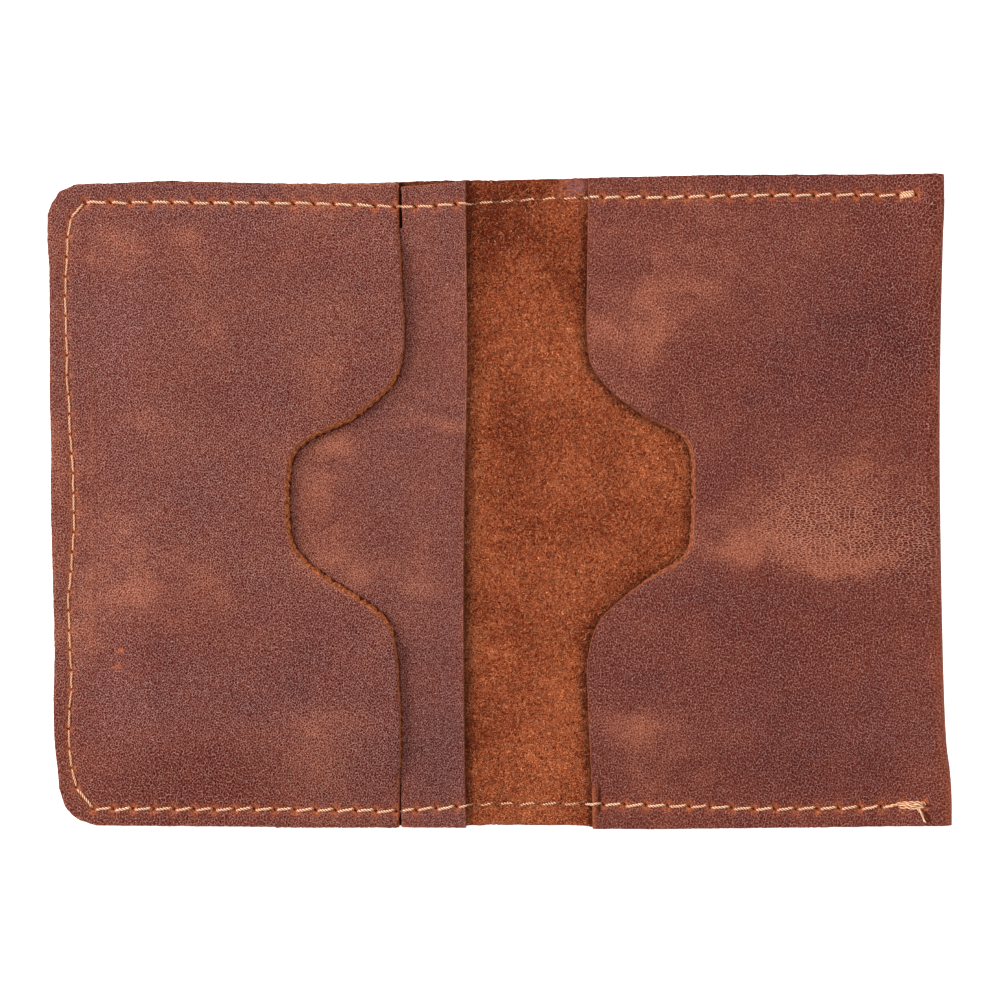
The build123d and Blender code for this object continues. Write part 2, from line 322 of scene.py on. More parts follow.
def pricked(places, count):
    """The count + 1 evenly spaced needle holes along one smooth curve through the given places."""
    path = curved(places)
    return resampled(path, run_along(path)[-1] / count)


HOLES = {
    "left": np.vstack([
        pricked(SEAM_TOP_LEFT, STITCHES_TOP_LEFT),
        [CORNER_HOLE],
        pricked(SEAM_LEFT, STITCHES_SIDE),
        pricked(SEAM_BOTTOM_LEFT, STITCHES_BOTTOM_LEFT),
    ]),
    "top": np.vstack([pricked(SEAM_TOP_RIGHT, STITCHES_TOP_RIGHT), [LAST_TOP_HOLE]]),
    "bottom": pricked(SEAM_BOTTOM_RIGHT, STITCHES_BOTTOM_RIGHT),
}
seam_points = np.vstack([resampled(holes, 0.2) for holes in HOLES.values()])
hole_points = np.vstack(list(HOLES.values()))
seam_tree = tree_of(seam_points)
hole_tree = tree_of(hole_points)

HOLE_LONG, HOLE_SHORT, HOLE_SLANT = 0.80, 0.34, math.radians(42)
TIGHT_SIDE = -90.6                                # X beyond which the left seam's holes are smaller


def seam_marks(points):
    """Distance to the seam, and the share from 0 to 1 of the nearest needle hole's pit and stretched rim."""
    from_seam, _ = nearest(points, seam_tree)
    _, which = nearest(points, hole_tree)
    away = points[:, :2] - hole_points[which]
    c, s = math.cos(HOLE_SLANT), math.sin(HOLE_SLANT)
    long, short = away[:, 0] * c - away[:, 1] * s, away[:, 0] * s + away[:, 1] * c
    tight = smooth(points[:, 0], TIGHT_SIDE, TIGHT_SIDE - 0.6)
    radius = np.hypot(long / HOLE_LONG, short / HOLE_SHORT) * (1 + 0.6 * tight)
    pit = smooth(radius, 1.14, 0.40)
    rim = np.exp(-(np.hypot(away[:, 0] / 0.85, away[:, 1] / 1.25)) ** 2) * (1 - 0.45 * tight)
    return from_seam, pit, rim


# ------------------------ outlines of the cut pieces

LEFT_CORNERS_TOP = [(-89.5, 68.7), (-91.4, 68.6), (-95.0, 67.0), (-95.6, 65.7), (-96.5, 64.6), (-97.4, 62.2)]
LEFT_SIDE = [(-97.4, 62.2), (-97.4, 56.0), (-97.0, 47.8), (-96.9, 22.0), (-96.6, 11.0), (-96.7, 0.0),
             (-96.4, -12.0), (-95.9, -32.4), (-96.1, -43.3), (-95.9, -52.0), (-95.2, -58.5), (-94.9, -62.4)]
LEFT_CORNERS_BOTTOM = [(-94.9, -62.4), (-93.6, -66.5), (-92.2, -68.2), (-90.4, -69.4), (-88.8, -69.9),
                       (-86.8, -70.5)]
POCKET_NOTCH = [(-20.9, 52.0), (-20.5, 43.5), (-20.1, 35.5), (-21.1, 29.4), (-24.6, 24.0), (-31.8, 18.2),
                (-39.8, 14.4), (-44.3, 10.5), (-45.6, 4.6), (-45.7, -3.0), (-44.6, -9.8), (-39.5, -15.6),
                (-30.2, -21.7), (-24.4, -26.3), (-21.9, -32.4), (-21.1, -43.3), (-20.9, -52.0)]
FLAP_NOTCH = [(19.9, 52.0), (19.7, 40.0), (20.1, 32.0), (21.8, 27.4), (27.0, 21.9), (33.3, 18.0),
              (40.3, 14.8), (42.7, 11.0), (43.2, 6.0), (43.0, -6.4), (41.9, -11.4), (39.2, -14.2),
              (33.8, -17.0), (27.1, -21.6), (22.1, -26.8), (19.9, -34.6), (20.0, -43.3), (20.4, -54.0)]


def pocket_ring():
    """The card pocket: hand-cut corners on the left and the mouth with its thumb notch on the right."""
    return closed(
        resampled([(-21.5, 68.6), (-45.0, 68.6), (-64.0, 69.0), (-82.0, 68.9), (-89.5, 68.7)]),
        resampled(LEFT_CORNERS_TOP),
        curved(LEFT_SIDE),
        resampled(LEFT_CORNERS_BOTTOM),
        resampled([(-86.8, -70.5), (-51.0, -70.8), (-21.3, -70.8)]),
        resampled([(-21.3, -70.8), (-21.2, -60.0), (-20.9, -52.0)]),
        curved(POCKET_NOTCH[::-1]),
        resampled([(-20.9, 52.0), (-21.4, 60.0), (-21.5, 68.6)]),
    )


def divider_ring():
    """The divider: a wide part that hides under the pocket and a strip that is sewn in at both ends."""
    x, tab, hidden = DIVIDER_EDGE, DIVIDER_TAB - 0.4, DIVIDER_HIDDEN
    return closed(
        curved([(x, -71.0), (x - 0.3, -61.0), (x - 0.6, -30.0), (x - 0.5, -5.0), (x + 0.1, 22.0),
                (x + 0.2, 36.0), (x, 55.0), (x - 0.2, 69.2)]),
        resampled([(x - 0.2, 69.2), (tab - 0.3, 68.0), (tab, 66.4), (tab + 0.1, 59.6)]),
        resampled([(tab, 59.0), (hidden + 3, 59.0), (hidden, 56.0), (hidden, -57.0), (hidden + 3, -60.5),
                   (tab - 0.4, -61.5)]),
        resampled([(tab - 0.2, -62.0), (tab - 0.1, -70.9), (x, -71.0)]),
    )


FOLD_EDGE = curved([(98.9, -75.0), (98.9, -65.0), (98.5, -58.6), (97.7, -52.0), (97.1, -38.0), (96.6, -15.0),
                    (96.3, 11.0), (96.5, 36.0), (97.0, 56.5), (97.3, 64.0), (97.2, 75.0)])


def fold_line(y):
    """X of the fold's outermost line, which bows in at the middle and out towards the bottom."""
    return np.interp(y, FOLD_EDGE[:, 1], FOLD_EDGE[:, 0])


def unrolled(points):
    """Where a place on the flap lies on the flat cover strip, before the strip was folded over."""
    points = np.asarray(points, float)
    start = fold_line(points[:, 1]) - FOLD_WIDE
    return np.stack([2 * start + math.pi * FOLD_ARC - points[:, 0], points[:, 1]], axis=1)


COVER_TOP_LEFT = [(0.0, 69.5), (-6.6, 69.5), (-14.0, 69.4), (-27.0, 68.9), (-45.0, 68.8), (-64.0, 69.2),
                  (-72.0, 69.4), (-82.0, 68.9), (-89.5, 68.7)]
COVER_TOP_RIGHT = [(0.0, 69.5), (20.3, 70.0), (46.4, 70.5), (65.9, 70.6), (94.0, 70.8)]
COVER_BOTTOM_LEFT = [(0.0, -70.4), (-6.6, -70.5), (-51.0, -70.6), (-86.8, -70.5)]
COVER_BOTTOM_RIGHT = [(0.0, -70.4), (19.0, -70.5), (22.0, -71.1), (33.4, -71.2), (78.9, -70.8),
                      (95.5, -70.5)]
SPLIT = resampled([(0.0, -70.4), (0.0, 69.5)])


def cover_left_ring():
    """The cover from its left edge to the middle of the spine."""
    return closed(SPLIT, resampled(COVER_TOP_LEFT), resampled(LEFT_CORNERS_TOP), curved(LEFT_SIDE),
                  resampled(LEFT_CORNERS_BOTTOM), resampled(COVER_BOTTOM_LEFT[::-1]))


def cover_right_ring():
    """The cover from the middle of the spine to the flap's mouth, laid out flat along the strip."""
    flap_bottom = unrolled([(94.0, -70.5), (78.9, -70.8), (33.4, -71.3), (21.0, -71.2)])
    flap_top = unrolled([(20.1, 70.0), (46.4, 70.6), (65.9, 70.7), (94.0, 70.8)])
    mouth = unrolled(np.vstack([
        resampled([(21.0, -71.2), (20.9, -62.0), (20.4, -54.0)]),
        curved(FLAP_NOTCH[::-1]),
        resampled([(19.9, 52.0), (20.0, 60.0), (20.1, 70.0)]),
    ]))
    return closed(
        resampled(COVER_BOTTOM_RIGHT),
        resampled(np.vstack([COVER_BOTTOM_RIGHT[-1:], flap_bottom])),
        mouth,
        resampled(np.vstack([flap_top, COVER_TOP_RIGHT[-1:]])),
        resampled(COVER_TOP_RIGHT[::-1]),
        SPLIT[::-1],
    )


# ------------------------ heights

def pocket_height(points):
    """Top of the card pocket: pressed flat at its seam, and puffed a little where the divider lies below."""
    x, y = points.T
    from_left, from_top, from_bottom = x + 97.0, 69.0 - y, y + 70.6
    rise = smooth(from_left, 4.8, 24) * smooth(from_top, 4.6, 20) * smooth(from_bottom, 3.6, 19)
    swell = 0.16 * ripple(points, (34, 24), 3.1) + 0.03 * ripple(points, (7, 6), 8.2)
    return RIM + POCKET_PUFF * rise + swell * rise


def divider_height(points):
    """Top of the divider, which steps down to the cover only at its sewn ends."""
    x, y = points.T
    rise = smooth(y, 66.0, 50.0) * smooth(y, -68.0, -52.0)
    swell = 0.07 * ripple(points, (14, 22), 5.4) + 0.03 * ripple(points, (4, 3), 1.7)
    lines = 0.10 * (np.exp(-((y + 22.3) / 0.7) ** 2) + 0.8 * np.exp(-((y - 20.2) / 0.7) ** 2))
    return RIM + 0.50 * (DIVIDER_TOP - RIM) * rise + (swell - lines) * rise


def curled_lip(points):
    """The flap's lower mouth corner: a curled lip, and the crease behind it."""
    x, y = points.T
    low = smooth(y, -60.5, -63.0)
    lip = low * np.exp(-((x - 21.2) / 0.8) ** 2)
    return lip, low * smooth(y, -69.0, -67.0) * np.exp(-((x - 22.4) / 0.42) ** 2)


def flap_height(points):
    """Top of the flap: pressed down along its two seams, fanned with fine wrinkles towards the fold."""
    x, y = points.T
    sewn = np.maximum(smooth(y, 50.0, 65.6), smooth(y, -50.4, -66.0)) * smooth(x, 95.0, 86.0)
    swell = 0.15 * ripple(points, (30, 24), 12.3) + 0.05 * ripple(points, (7, 5), 2.2)
    fan = smooth(x, 44, 60) * smooth(x, 97, 90) * np.exp(-((y - 2) / 13.0) ** 2)
    turned = y + (x - 42) * 0.04 * np.sin(y / 6)
    wrinkles = np.sin(turned * 2.2 + 2.0 * ripple(points, (22, 4), 6.6)) * ripple(points, (24, 5), 9.9)
    lip, behind = curled_lip(points)
    return (FLAP_TOP - (FLAP_TOP - RIM) * sewn + swell * (1 - sewn) * smooth(x, 97, 90)
            + 0.10 * fan * wrinkles + 0.55 * lip - 0.45 * behind)


def cover_floor(points):
    """How far the cover's inside face stands off its even thickness: the unevenness of split hide."""
    return 0.07 * ripple(points, (5, 7), 4.4) + 0.03 * ripple(points, (1.4, 1.4), 7.7)


# ------------------------ sheets of leather

SHARP_ANGLE = math.radians(62)                    # edges bent further than this aren't shaded smooth
GRAIN_SIDE, FLESH_SIDE, CUT_SIDE = 0, 1, 2        # sides of a sheet, which are also its material slots
SUEDE_UV, CUT_UV = (0, 200), (0, 400)             # where the suede and the cut edge start in the UVs
# Each level of a cut edge: how far it leans out, from 0 to 1, and the share through the hide.
CUT_PROFILE = [(0.10, 0.04), (0.28, 0.14), (0.58, 0.34), (0.90, 0.58), (1.00, 0.80), (0.75, 0.96)]


def grid_in(ring, step, seed, keep):
    """Jittered points in rows over the inside of a ring, where keep says so and clear of the ring itself."""
    rng = np.random.default_rng(seed)
    low, high = ring.min(axis=0), ring.max(axis=0)
    columns = np.arange(low[0], high[0], step)
    rows = np.arange(low[1], high[1], step * ROW_SPACING)
    x, y = np.meshgrid(columns, rows)
    x = x + (np.arange(len(rows)) % 2)[:, None] * step / 2
    points = np.stack([x.ravel(), y.ravel()], axis=1)
    points += rng.uniform(-0.12, 0.12, points.shape) * step
    points = points[keep(points)]
    points = points[inside(points, ring)]
    gap, _ = nearest(points, tree_of(ring))
    return points[gap > 0.45 * max(step, 0.6 * CUT_STEP)]


def shown(name, data):
    """A new object in the scene."""
    made = bpy.data.objects.new(name, data)
    bpy.context.scene.collection.objects.link(made)
    return made


def make_piece(name, verts, faces, slots, uvs, wear_and_shade, materials):
    """A mesh object from arrays in millimetres. Worn marks and painted shade take three columns, and three more are
    for the grain of leather."""
    mesh = bpy.data.meshes.new(name)
    mesh.from_pydata((verts * MM).tolist(), [], faces)
    for material in materials:
        mesh.materials.append(material)
    mesh.polygons.foreach_set("material_index", np.asarray(slots, np.int32))
    mesh.polygons.foreach_set("use_smooth", np.ones(len(mesh.polygons), bool))
    corner = np.empty(len(mesh.loops), np.int32)
    mesh.loops.foreach_get("vertex_index", corner)
    layer = mesh.uv_layers.new(name="UVMap")
    layer.uv.foreach_set("vector", (np.asarray(uvs, np.float32)[corner] * MM).ravel())
    wear_and_shade = np.asarray(wear_and_shade, np.float32)
    for first in range(0, wear_and_shade.shape[1], 3):
        # The first colour layer holds worn marks together with painted shade.
        label = "grain" if first else "wear_and_shade"
        colour = mesh.color_attributes.new(name=label, type="FLOAT_COLOR", domain="POINT")
        rgba = np.ones((len(verts), 4), np.float32)
        rgba[:, :3] = wear_and_shade[:, first:first + 3]
        colour.data.foreach_set("color", rgba.ravel())
    mesh.validate()
    mesh.update()
    mesh.set_sharp_from_angle(angle=SHARP_ANGLE)
    return shown(name, mesh)


def spaced_points(ring, seed, flat_of, close, plain):
    """The ring and the points inside it, set closer beside the stitches and where close says so, and wider
    where plain says so."""
    def from_seam(points):
        return nearest(flat_of(points), seam_tree)[0]

    def beyond(points):
        return from_seam(points) > SEAM_BAND

    def wide(points):
        return plain(points) & (from_seam(points) > PLAIN_BAND)

    coarse = grid_in(ring, SHEET_STEP, seed, beyond)
    fine = grid_in(ring, SEAM_STEP, seed + 1, lambda points: ~beyond(points))
    parts = [ring, coarse, fine]
    if close is not None:
        parts[1] = coarse[~close(coarse)]
        parts.append(grid_in(ring, CLOSE_STEP, seed + 2, lambda points: close(points) & beyond(points)))
    if plain is not None:
        parts[1] = parts[1][~wide(parts[1])]
        parts[2] = fine[~wide(fine)]
        parts.append(grid_in(ring, PLAIN_STEP, seed + 3, wide))
    return np.vstack(parts)


def leather_sheet(name, ring, place, paint, slope, seed, materials, flat_of=lambda points: points,
                  close=None, plain=None, flip=False):
    """A closed sheet of hide. Place gives points in space from flat points and the share through the hide, paint gives
    the worn marks and painted shade at flat points, slope says how far each ring point's cut leans out, flat_of where
    flat points lie on the page, and close and plain pick the points that need closer or wider spacing."""
    count = len(ring)
    points = [Vector(p) for p in spaced_points(ring, seed, flat_of, close, plain)]
    flat, _, triangles, sources, _, _ = delaunay_2d_cdt(points, [], [list(range(count))], 1, 1e-5, True)
    flat = np.array([tuple(v) for v in flat])
    triangles = np.array([list(f) for f in triangles])
    triangles = triangles[inside(flat[triangles].mean(axis=1), ring)].tolist()
    at_ring = {}
    for i, given in enumerate(sources):
        for source in given:
            at_ring.setdefault(source, i)
    border = [at_ring[i] for i in range(count)]
    total = len(flat)

    run, out = run_around(ring), outward(ring)
    rough = wave(run, 0.9, seed, 3) + wave(run, 0.37, seed, 8)
    levels = [place(flat, np.zeros(total)), place(flat, np.ones(total))]
    uvs = [flat, flat + SUEDE_UV]
    for lean, through in CUT_PROFILE:
        moved = ring + out * (slope * lean * (1 + CUT_ROUGH * rough))[:, None]
        levels.append(place(moved, np.full(count, through)))
        uvs.append(np.column_stack([run, np.full(count, through * LEATHER)]) + CUT_UV)

    faces, slots = [], []
    for a, b, c in triangles:
        faces.append((a, b, c))
        slots.append(GRAIN_SIDE)
        faces.append((c + total, b + total, a + total))
        slots.append(FLESH_SIDE)
    first = 2 * total
    rings = [border] + [[first + k * count + i for i in range(count)] for k in range(len(CUT_PROFILE))]
    rings.append([b + total for b in border])
    for k, (upper, lower) in enumerate(zip(rings, rings[1:])):
        for i in range(count):
            j = (i + 1) % count
            faces.append((upper[i], lower[i], lower[j], upper[j]))
            slots.append(GRAIN_SIDE if k == 0 else CUT_SIDE)
    if flip:
        faces = [f[::-1] for f in faces]
    wear_and_shade = [paint(flat, GRAIN_SIDE), paint(flat, FLESH_SIDE)] + [paint(ring, CUT_SIDE)] * len(CUT_PROFILE)
    return make_piece(name, np.vstack(levels), faces, slots, np.vstack(uvs), np.vstack(wear_and_shade), materials)


# ------------------------ wear, colour and painted shade, kept on the points

# Each patch is its X and Y, its half width and half height, and how strong it is.
WARM_PATCHES = [
    (-84, 55, 10, 4.5, 1.0), (-66.5, 57, 3.5, 6, 0.5), (-70, 46, 6, 3, 0.15), (-38, 27, 4, 4, 0.8),
    (-82, -9, 8, 9, 0.9), (-72, -21, 8, 4, 0.35), (-88, -26, 4, 6, 0.5), (-45, -30, 3, 3, 0.5),
    (-45, -51, 8, 4, 0.25), (-80, -51, 4, 3, 0.5), (-61, 37, 3, 4, 0.5), (-96, 12, 2, 30, 0.5),
    (-38, 0, 6, 13, 0.6), (-34, 12, 8, 3, 0.9), (-14, 16.5, 8, 1.6, 0.7), (-26, -15.5, 11, 3.5, 0.7),
    (36, 44, 12, 8, 1.1), (28, 36, 8, 4, 0.8), (75, -13, 9, 3, 1.7), (55, -11, 8, 3, 1.3),
    (81, -1, 10, 4, 0.2), (66, -6, 12, 3.5, 0.8), (31, -49, 7, 4.5, 0.85),
]
COOL_PATCHES = [
    (-43, -41, 14, 5, 1.0), (-84, -43, 8, 8, 0.4), (-64, -4, 5, 5, 0.4), (-25, -58, 5, 6, 0.6),
    (-58, -39, 10, 8, 0.5), (-55, 65, 30, 3, 0.4), (-88, 44, 4, 6, 0.4), (-84, 21, 6, 7, 0.4),
    (-14, -52, 9, 17, 1.0), (-14, -22.3, 9, 0.8, 0.8), (-14, 20.3, 9, 0.7, 0.6), (66, 33, 20, 12, 1.0),
    (25, 50, 6, 4, 0.5), (33, -35, 14, 7, 0.5), (62, -22, 20, 4, 0.6), (66, -48, 26, 16, 0.8),
    (36, 13, 8, 8, 0.4), (79, 44, 10, 14, 0.5), (53, 11, 10, 8, 0.4),
]


def mottling(points):
    """Where the waxed hide is rubbed warm, from 0 to 1, with 0.4 as its usual tone."""
    tone = 0.46 + 0.20 * ripple(points, 19, 21.5, 3) + 0.12 * ripple(points, (7, 5), 33.1, 3)
    tone = tone + 0.04 * smooth(points[:, 0], 10, 20)
    cloud = 0.75 + 0.7 * ripple(points, (8, 6), 55.0, 3)
    drift = 3.0 * np.column_stack([ripple(points, 12, 61.0), ripple(points, 12, 67.0)])
    moved = points[:, :2] + drift
    for x, y, wide, high, strength in WARM_PATCHES:
        tone = tone + 0.39 * strength * bell(moved, x, y, 1.2 * wide, 1.35 * high) * cloud
    for x, y, wide, high, strength in COOL_PATCHES:
        tone = tone - 0.36 * strength * bell(moved, x, y, 1.1 * wide, 1.2 * high) * cloud
    return np.clip(tone, 0, 1.15)


def pebbles(points, base):
    """How coarse the grain's pebbles are, how far they are drawn into creases along X, and how far they are
    drawn out round the fold, as three columns."""
    x, y = points[:, :2].T
    coarse = base + 0.40 * ripple(points, (26, 20), 71.0)
    coarse = coarse + 0.35 * smooth(x, 72, 88) * smooth(y, -45, -15)
    coarse = coarse + 0.45 * smooth(x, -30, -60) * smooth(y, -38, -58)
    creased = smooth(x, 46, 66) * np.exp(-((y + 4 + 0.12 * (x - 60)) / 15.0) ** 2)
    from_fold = fold_line(y) - x
    fold = smooth(from_fold, 4.2, 0.6) * (0.65 + 0.35 * np.exp(-((from_fold - 1.6) / 0.5) ** 2))
    return np.stack([np.clip(coarse, 0, 1), np.clip(creased, 0, 1), fold], axis=1)


def seam_stretch_and_hole_shade(points, pulled):
    """Stretched share beside the seam and painted shade in its needle holes, as two columns. Pulled is how far the
    stretch shows.
    """
    from_seam, pit, rim = seam_marks(points)
    lobes = 0.65 + 0.9 * ripple(points, 0.9, 17.0)
    band = 0.14 * np.exp(-(from_seam / 0.8) ** 2)
    return np.stack([np.clip((rim * lobes * 0.95 + band) * pulled, 0, 1), pit], axis=1)


# ------------------------ materials

def srgb(red, green, blue):
    """A colour from its usual 0 to 255 values, in linear light with alpha."""
    def linear(value):
        share = value / 255
        return share / 12.92 if share <= 0.04045 else ((share + 0.055) / 1.055) ** 2.4
    return (linear(red), linear(green), linear(blue), 1.0)


class Shader:
    """A node material with a short way to add nodes. A value is a number, a colour or a node's output."""

    def __init__(self, name):
        self.material = bpy.data.materials.new(name)
        self.material.use_nodes = True
        self.tree = self.material.node_tree
        self.tree.nodes.clear()
        output = self.tree.nodes.new("ShaderNodeOutputMaterial")
        self.surface = self.tree.nodes.new("ShaderNodeBsdfPrincipled")
        self.tree.links.new(self.surface.outputs[0], output.inputs[0])

    def put(self, node, key, value):
        if isinstance(value, bpy.types.NodeSocket):
            self.tree.links.new(value, node.inputs[key])
        else:
            node.inputs[key].default_value = value

    def add(self, kind, inputs, output=0, **settings):
        node = self.tree.nodes.new("ShaderNode" + kind)
        for key, value in settings.items():
            setattr(node, key, value)
        for key, value in inputs.items():
            self.put(node, key, value)
        return node.outputs[output]

    def math(self, operation, a, b, clamp=False):
        return self.add("Math", {0: a, 1: b}, operation=operation, use_clamp=clamp)

    def plus(self, a, b, clamp=False):
        return self.math("ADD", a, b, clamp)

    def minus(self, a, b):
        return self.math("SUBTRACT", a, b)

    def times(self, a, b, clamp=False):
        return self.math("MULTIPLY", a, b, clamp)

    def swing(self, value, amount, middle=0.5):
        """How far a value lies from its middle, times an amount."""
        return self.times(self.minus(value, middle), amount)

    def both(self, a, share_a, b, share_b):
        """A share of one value plus a share of another."""
        return self.plus(self.times(a, share_a), self.times(b, share_b))

    def cross(self, share, a, b):
        """From a to b as the share goes from 0 to 1."""
        return self.both(a, self.minus(1.0, share), b, share)

    def mix(self, share, a, b):
        """From colour a to colour b as the share goes from 0 to 1."""
        node = self.tree.nodes.new("ShaderNodeMix")
        node.data_type = "RGBA"
        for index, value in ((0, share), (6, a), (7, b)):
            self.put(node, index, value)
        return node.outputs[2]

    def ramp(self, value, low, high, to_low=0.0, to_high=1.0, kind="SMOOTHSTEP"):
        return self.add("MapRange", {0: value, 1: low, 2: high, 3: to_low, 4: to_high},
                        interpolation_type=kind)

    def place(self, stretch=(1, 1, 1)):
        """Places on the unrolled leather in millimetres, stretched."""
        uv = self.add("UVMap", {}, uv_map="UVMap")
        return self.add("Mapping", {0: uv, 3: tuple(s / MM for s in stretch)})

    def stretched(self, where, stretch, turn=0.0):
        return self.add("Mapping", {0: where, 2: (0, 0, turn), 3: stretch})

    def swayed(self, where, scale, amount):
        """The places shifted by a noise, so that what is laid on them isn't straight."""
        shift = self.add("VectorMath", {0: self.noise(where, scale, output=1), 3: amount}, operation="SCALE")
        return self.add("VectorMath", {0: where, 1: shift}, operation="ADD")

    def noise(self, where, scale, detail=2.0, rough=0.5, output=0):
        return self.add("TexNoise", {"Vector": where, "Scale": scale, "Detail": detail, "Roughness": rough},
                        output, noise_dimensions="2D")

    def channels(self, layer="wear_and_shade"):
        """The three channels of a colour layer. On leather they are warmth, stretch and pits, and the pits channel is
        painted shade in needle holes, crevices, creases and beside raised edges.
        """
        node = self.tree.nodes.new("ShaderNodeSeparateColor")
        self.put(node, 0, self.add("VertexColor", {}, layer_name=layer))
        return node.outputs[0], node.outputs[1], node.outputs[2]

    def finish(self, colour, roughness, specular, bump=None):
        """The finished material. Bump is its strength, its depth in millimetres and the height."""
        self.put(self.surface, "Base Color", colour)
        self.put(self.surface, "Roughness", roughness)
        self.put(self.surface, "Specular IOR Level", specular)
        if bump is not None:
            strength, depth, height = bump
            self.put(self.surface, "Normal",
                     self.add("Bump", {"Strength": strength, "Distance": depth * MM, "Height": height}))
        return self.material


# The waxed grain in its three tones, its creases, whose whitish tint is partly their paler wax and partly painted
# highlight, and pores, the hide beside a needle hole, the painted shade in needle holes, crevices and creases, and the
# hide drawn out in a fold.
COOL, USUAL, WARM = srgb(79, 30, 24), srgb(96, 41, 29), srgb(138, 76, 56)
PALE_LINES_AND_HIGHLIGHT, WARM_LINES_AND_HIGHLIGHT, SUNK = srgb(214, 176, 168), srgb(218, 172, 150), srgb(58, 2, 1)
STRETCHED, HOLLOW_SHADE = srgb(180, 94, 52), srgb(70, 25, 9)
DRAWN_DARK, DRAWN_LIGHT = srgb(92, 36, 20), srgb(142, 66, 42)
SUEDE, SUEDE_DARK, SUEDE_LIGHT = srgb(130, 41, 8), srgb(58, 13, 3), srgb(232, 144, 94)
# The smear is a real mark; the second colour here is painted shade for the suede's slit, crevices, needle holes and
# the strips beside raised edges.
SUEDE_SMEAR, SUEDE_SHADE = srgb(136, 84, 84), srgb(38, 11, 3)
USUAL_LINES = 0.47                                # mean of a net of lines


def grain_material(name, cell, turn, contrast):
    """Waxed grain side: small pebbles with a lighter net of creases between them, whose whitish tint is partly painted
    highlight, mottled warm and cool, with painted shade in needle holes, crevices and creases. Cell is the pebbles'
    size in millimetres."""
    s = Shader(name)
    warm, stretch, pit = s.channels()
    coarse, creased, fold = s.channels("grain")
    flat = s.place()
    bent = s.swayed(flat, 1.3, 0.5)

    def net(stretch_x, stretch_y, size, width, lean=turn):
        """Light lines between the cells of one pattern."""
        edge = s.add("TexVoronoi", {"Vector": s.stretched(bent, (stretch_x, stretch_y, 1.0), lean),
                                    "Scale": size / cell, "Randomness": 1.0},
                     feature="DISTANCE_TO_EDGE", voronoi_dimensions="2D")
        return s.ramp(edge, 0.0, width, 1.0, 0.0)

    middling, fine, large = net(1.0, 0.78, 1.0, 0.26), net(1.0, 0.78, 1.7, 0.30), net(1.0, 0.7, 0.78, 0.19)
    pulled_out = net(0.5, 1.2, 0.95, 0.22, 0.0)
    drawn = s.noise(s.stretched(bent, (0.22, 1.5, 1.0)), 1.3, 3.0, 0.6)
    speckle = s.noise(flat, 2.5, 2.0, 0.75)
    patchy = s.noise(flat, 0.9, 2.0, 0.6)
    blotch = s.noise(flat, 0.25, 4.0, 0.65)

    lines = s.cross(coarse, s.both(middling, 0.60, fine, 0.42), s.both(middling, 0.40, large, 0.62))
    lines = s.cross(creased, lines, s.both(pulled_out, 0.88, fine, 0.26))
    lines = s.times(lines, s.ramp(patchy, 0.3, 0.7, 0.88, 1.12, "LINEAR"))
    tone = s.plus(warm, s.swing(blotch, 0.3))
    tone = s.plus(tone, s.swing(drawn, creased), True)
    tone = s.plus(tone, s.times(creased, s.swing(lines, 0.6, 0.45)), True)
    base = s.mix(s.ramp(tone, 0.0, 0.5), COOL, USUAL)
    base = s.mix(s.ramp(tone, 0.42, 1.0), base, WARM)
    streaks = s.noise(s.place((2.6, 0.10, 1.0)), 1.0, 3.0, 0.7)
    drawn_out = s.mix(s.ramp(streaks, 0.40, 0.60), DRAWN_DARK, DRAWN_LIGHT)
    base = s.mix(s.times(fold, 0.75), base, drawn_out)

    # The crease net and fine speckle are lifted towards a whitish colour: partly the wax's paler colour and partly
    # painted highlight.
    light = s.plus(s.swing(lines, contrast, USUAL_LINES), s.swing(speckle, 1.5))
    line_and_highlight_colour = s.mix(s.ramp(tone, 0.3, 0.9), PALE_LINES_AND_HIGHLIGHT, WARM_LINES_AND_HIGHLIGHT)
    lifted = s.mix(s.times(light, 0.54, True), base, line_and_highlight_colour)
    sunk = s.mix(s.times(light, -1.9, True), lifted, SUNK)
    pulled = s.mix(s.times(stretch, s.ramp(speckle, 0.3, 0.62, 0.45, 1.0)), sunk, STRETCHED)
    # Painted shade in needle holes, in the crevice under a panel's edge and in creases, with a ragged edge.
    frayed = s.plus(pit, s.swing(speckle, 0.9))
    final = s.mix(s.times(s.ramp(frayed, 0.28, 0.75), s.ramp(pit, 0.0, 0.2)), pulled, HOLLOW_SHADE)
    height = s.minus(s.times(speckle, 0.6), s.times(lines, 0.9))
    return s.finish(final, s.ramp(speckle, 0.2, 0.8, 0.50, 0.68, "LINEAR"), 0.06, (0.6, 0.12, height))


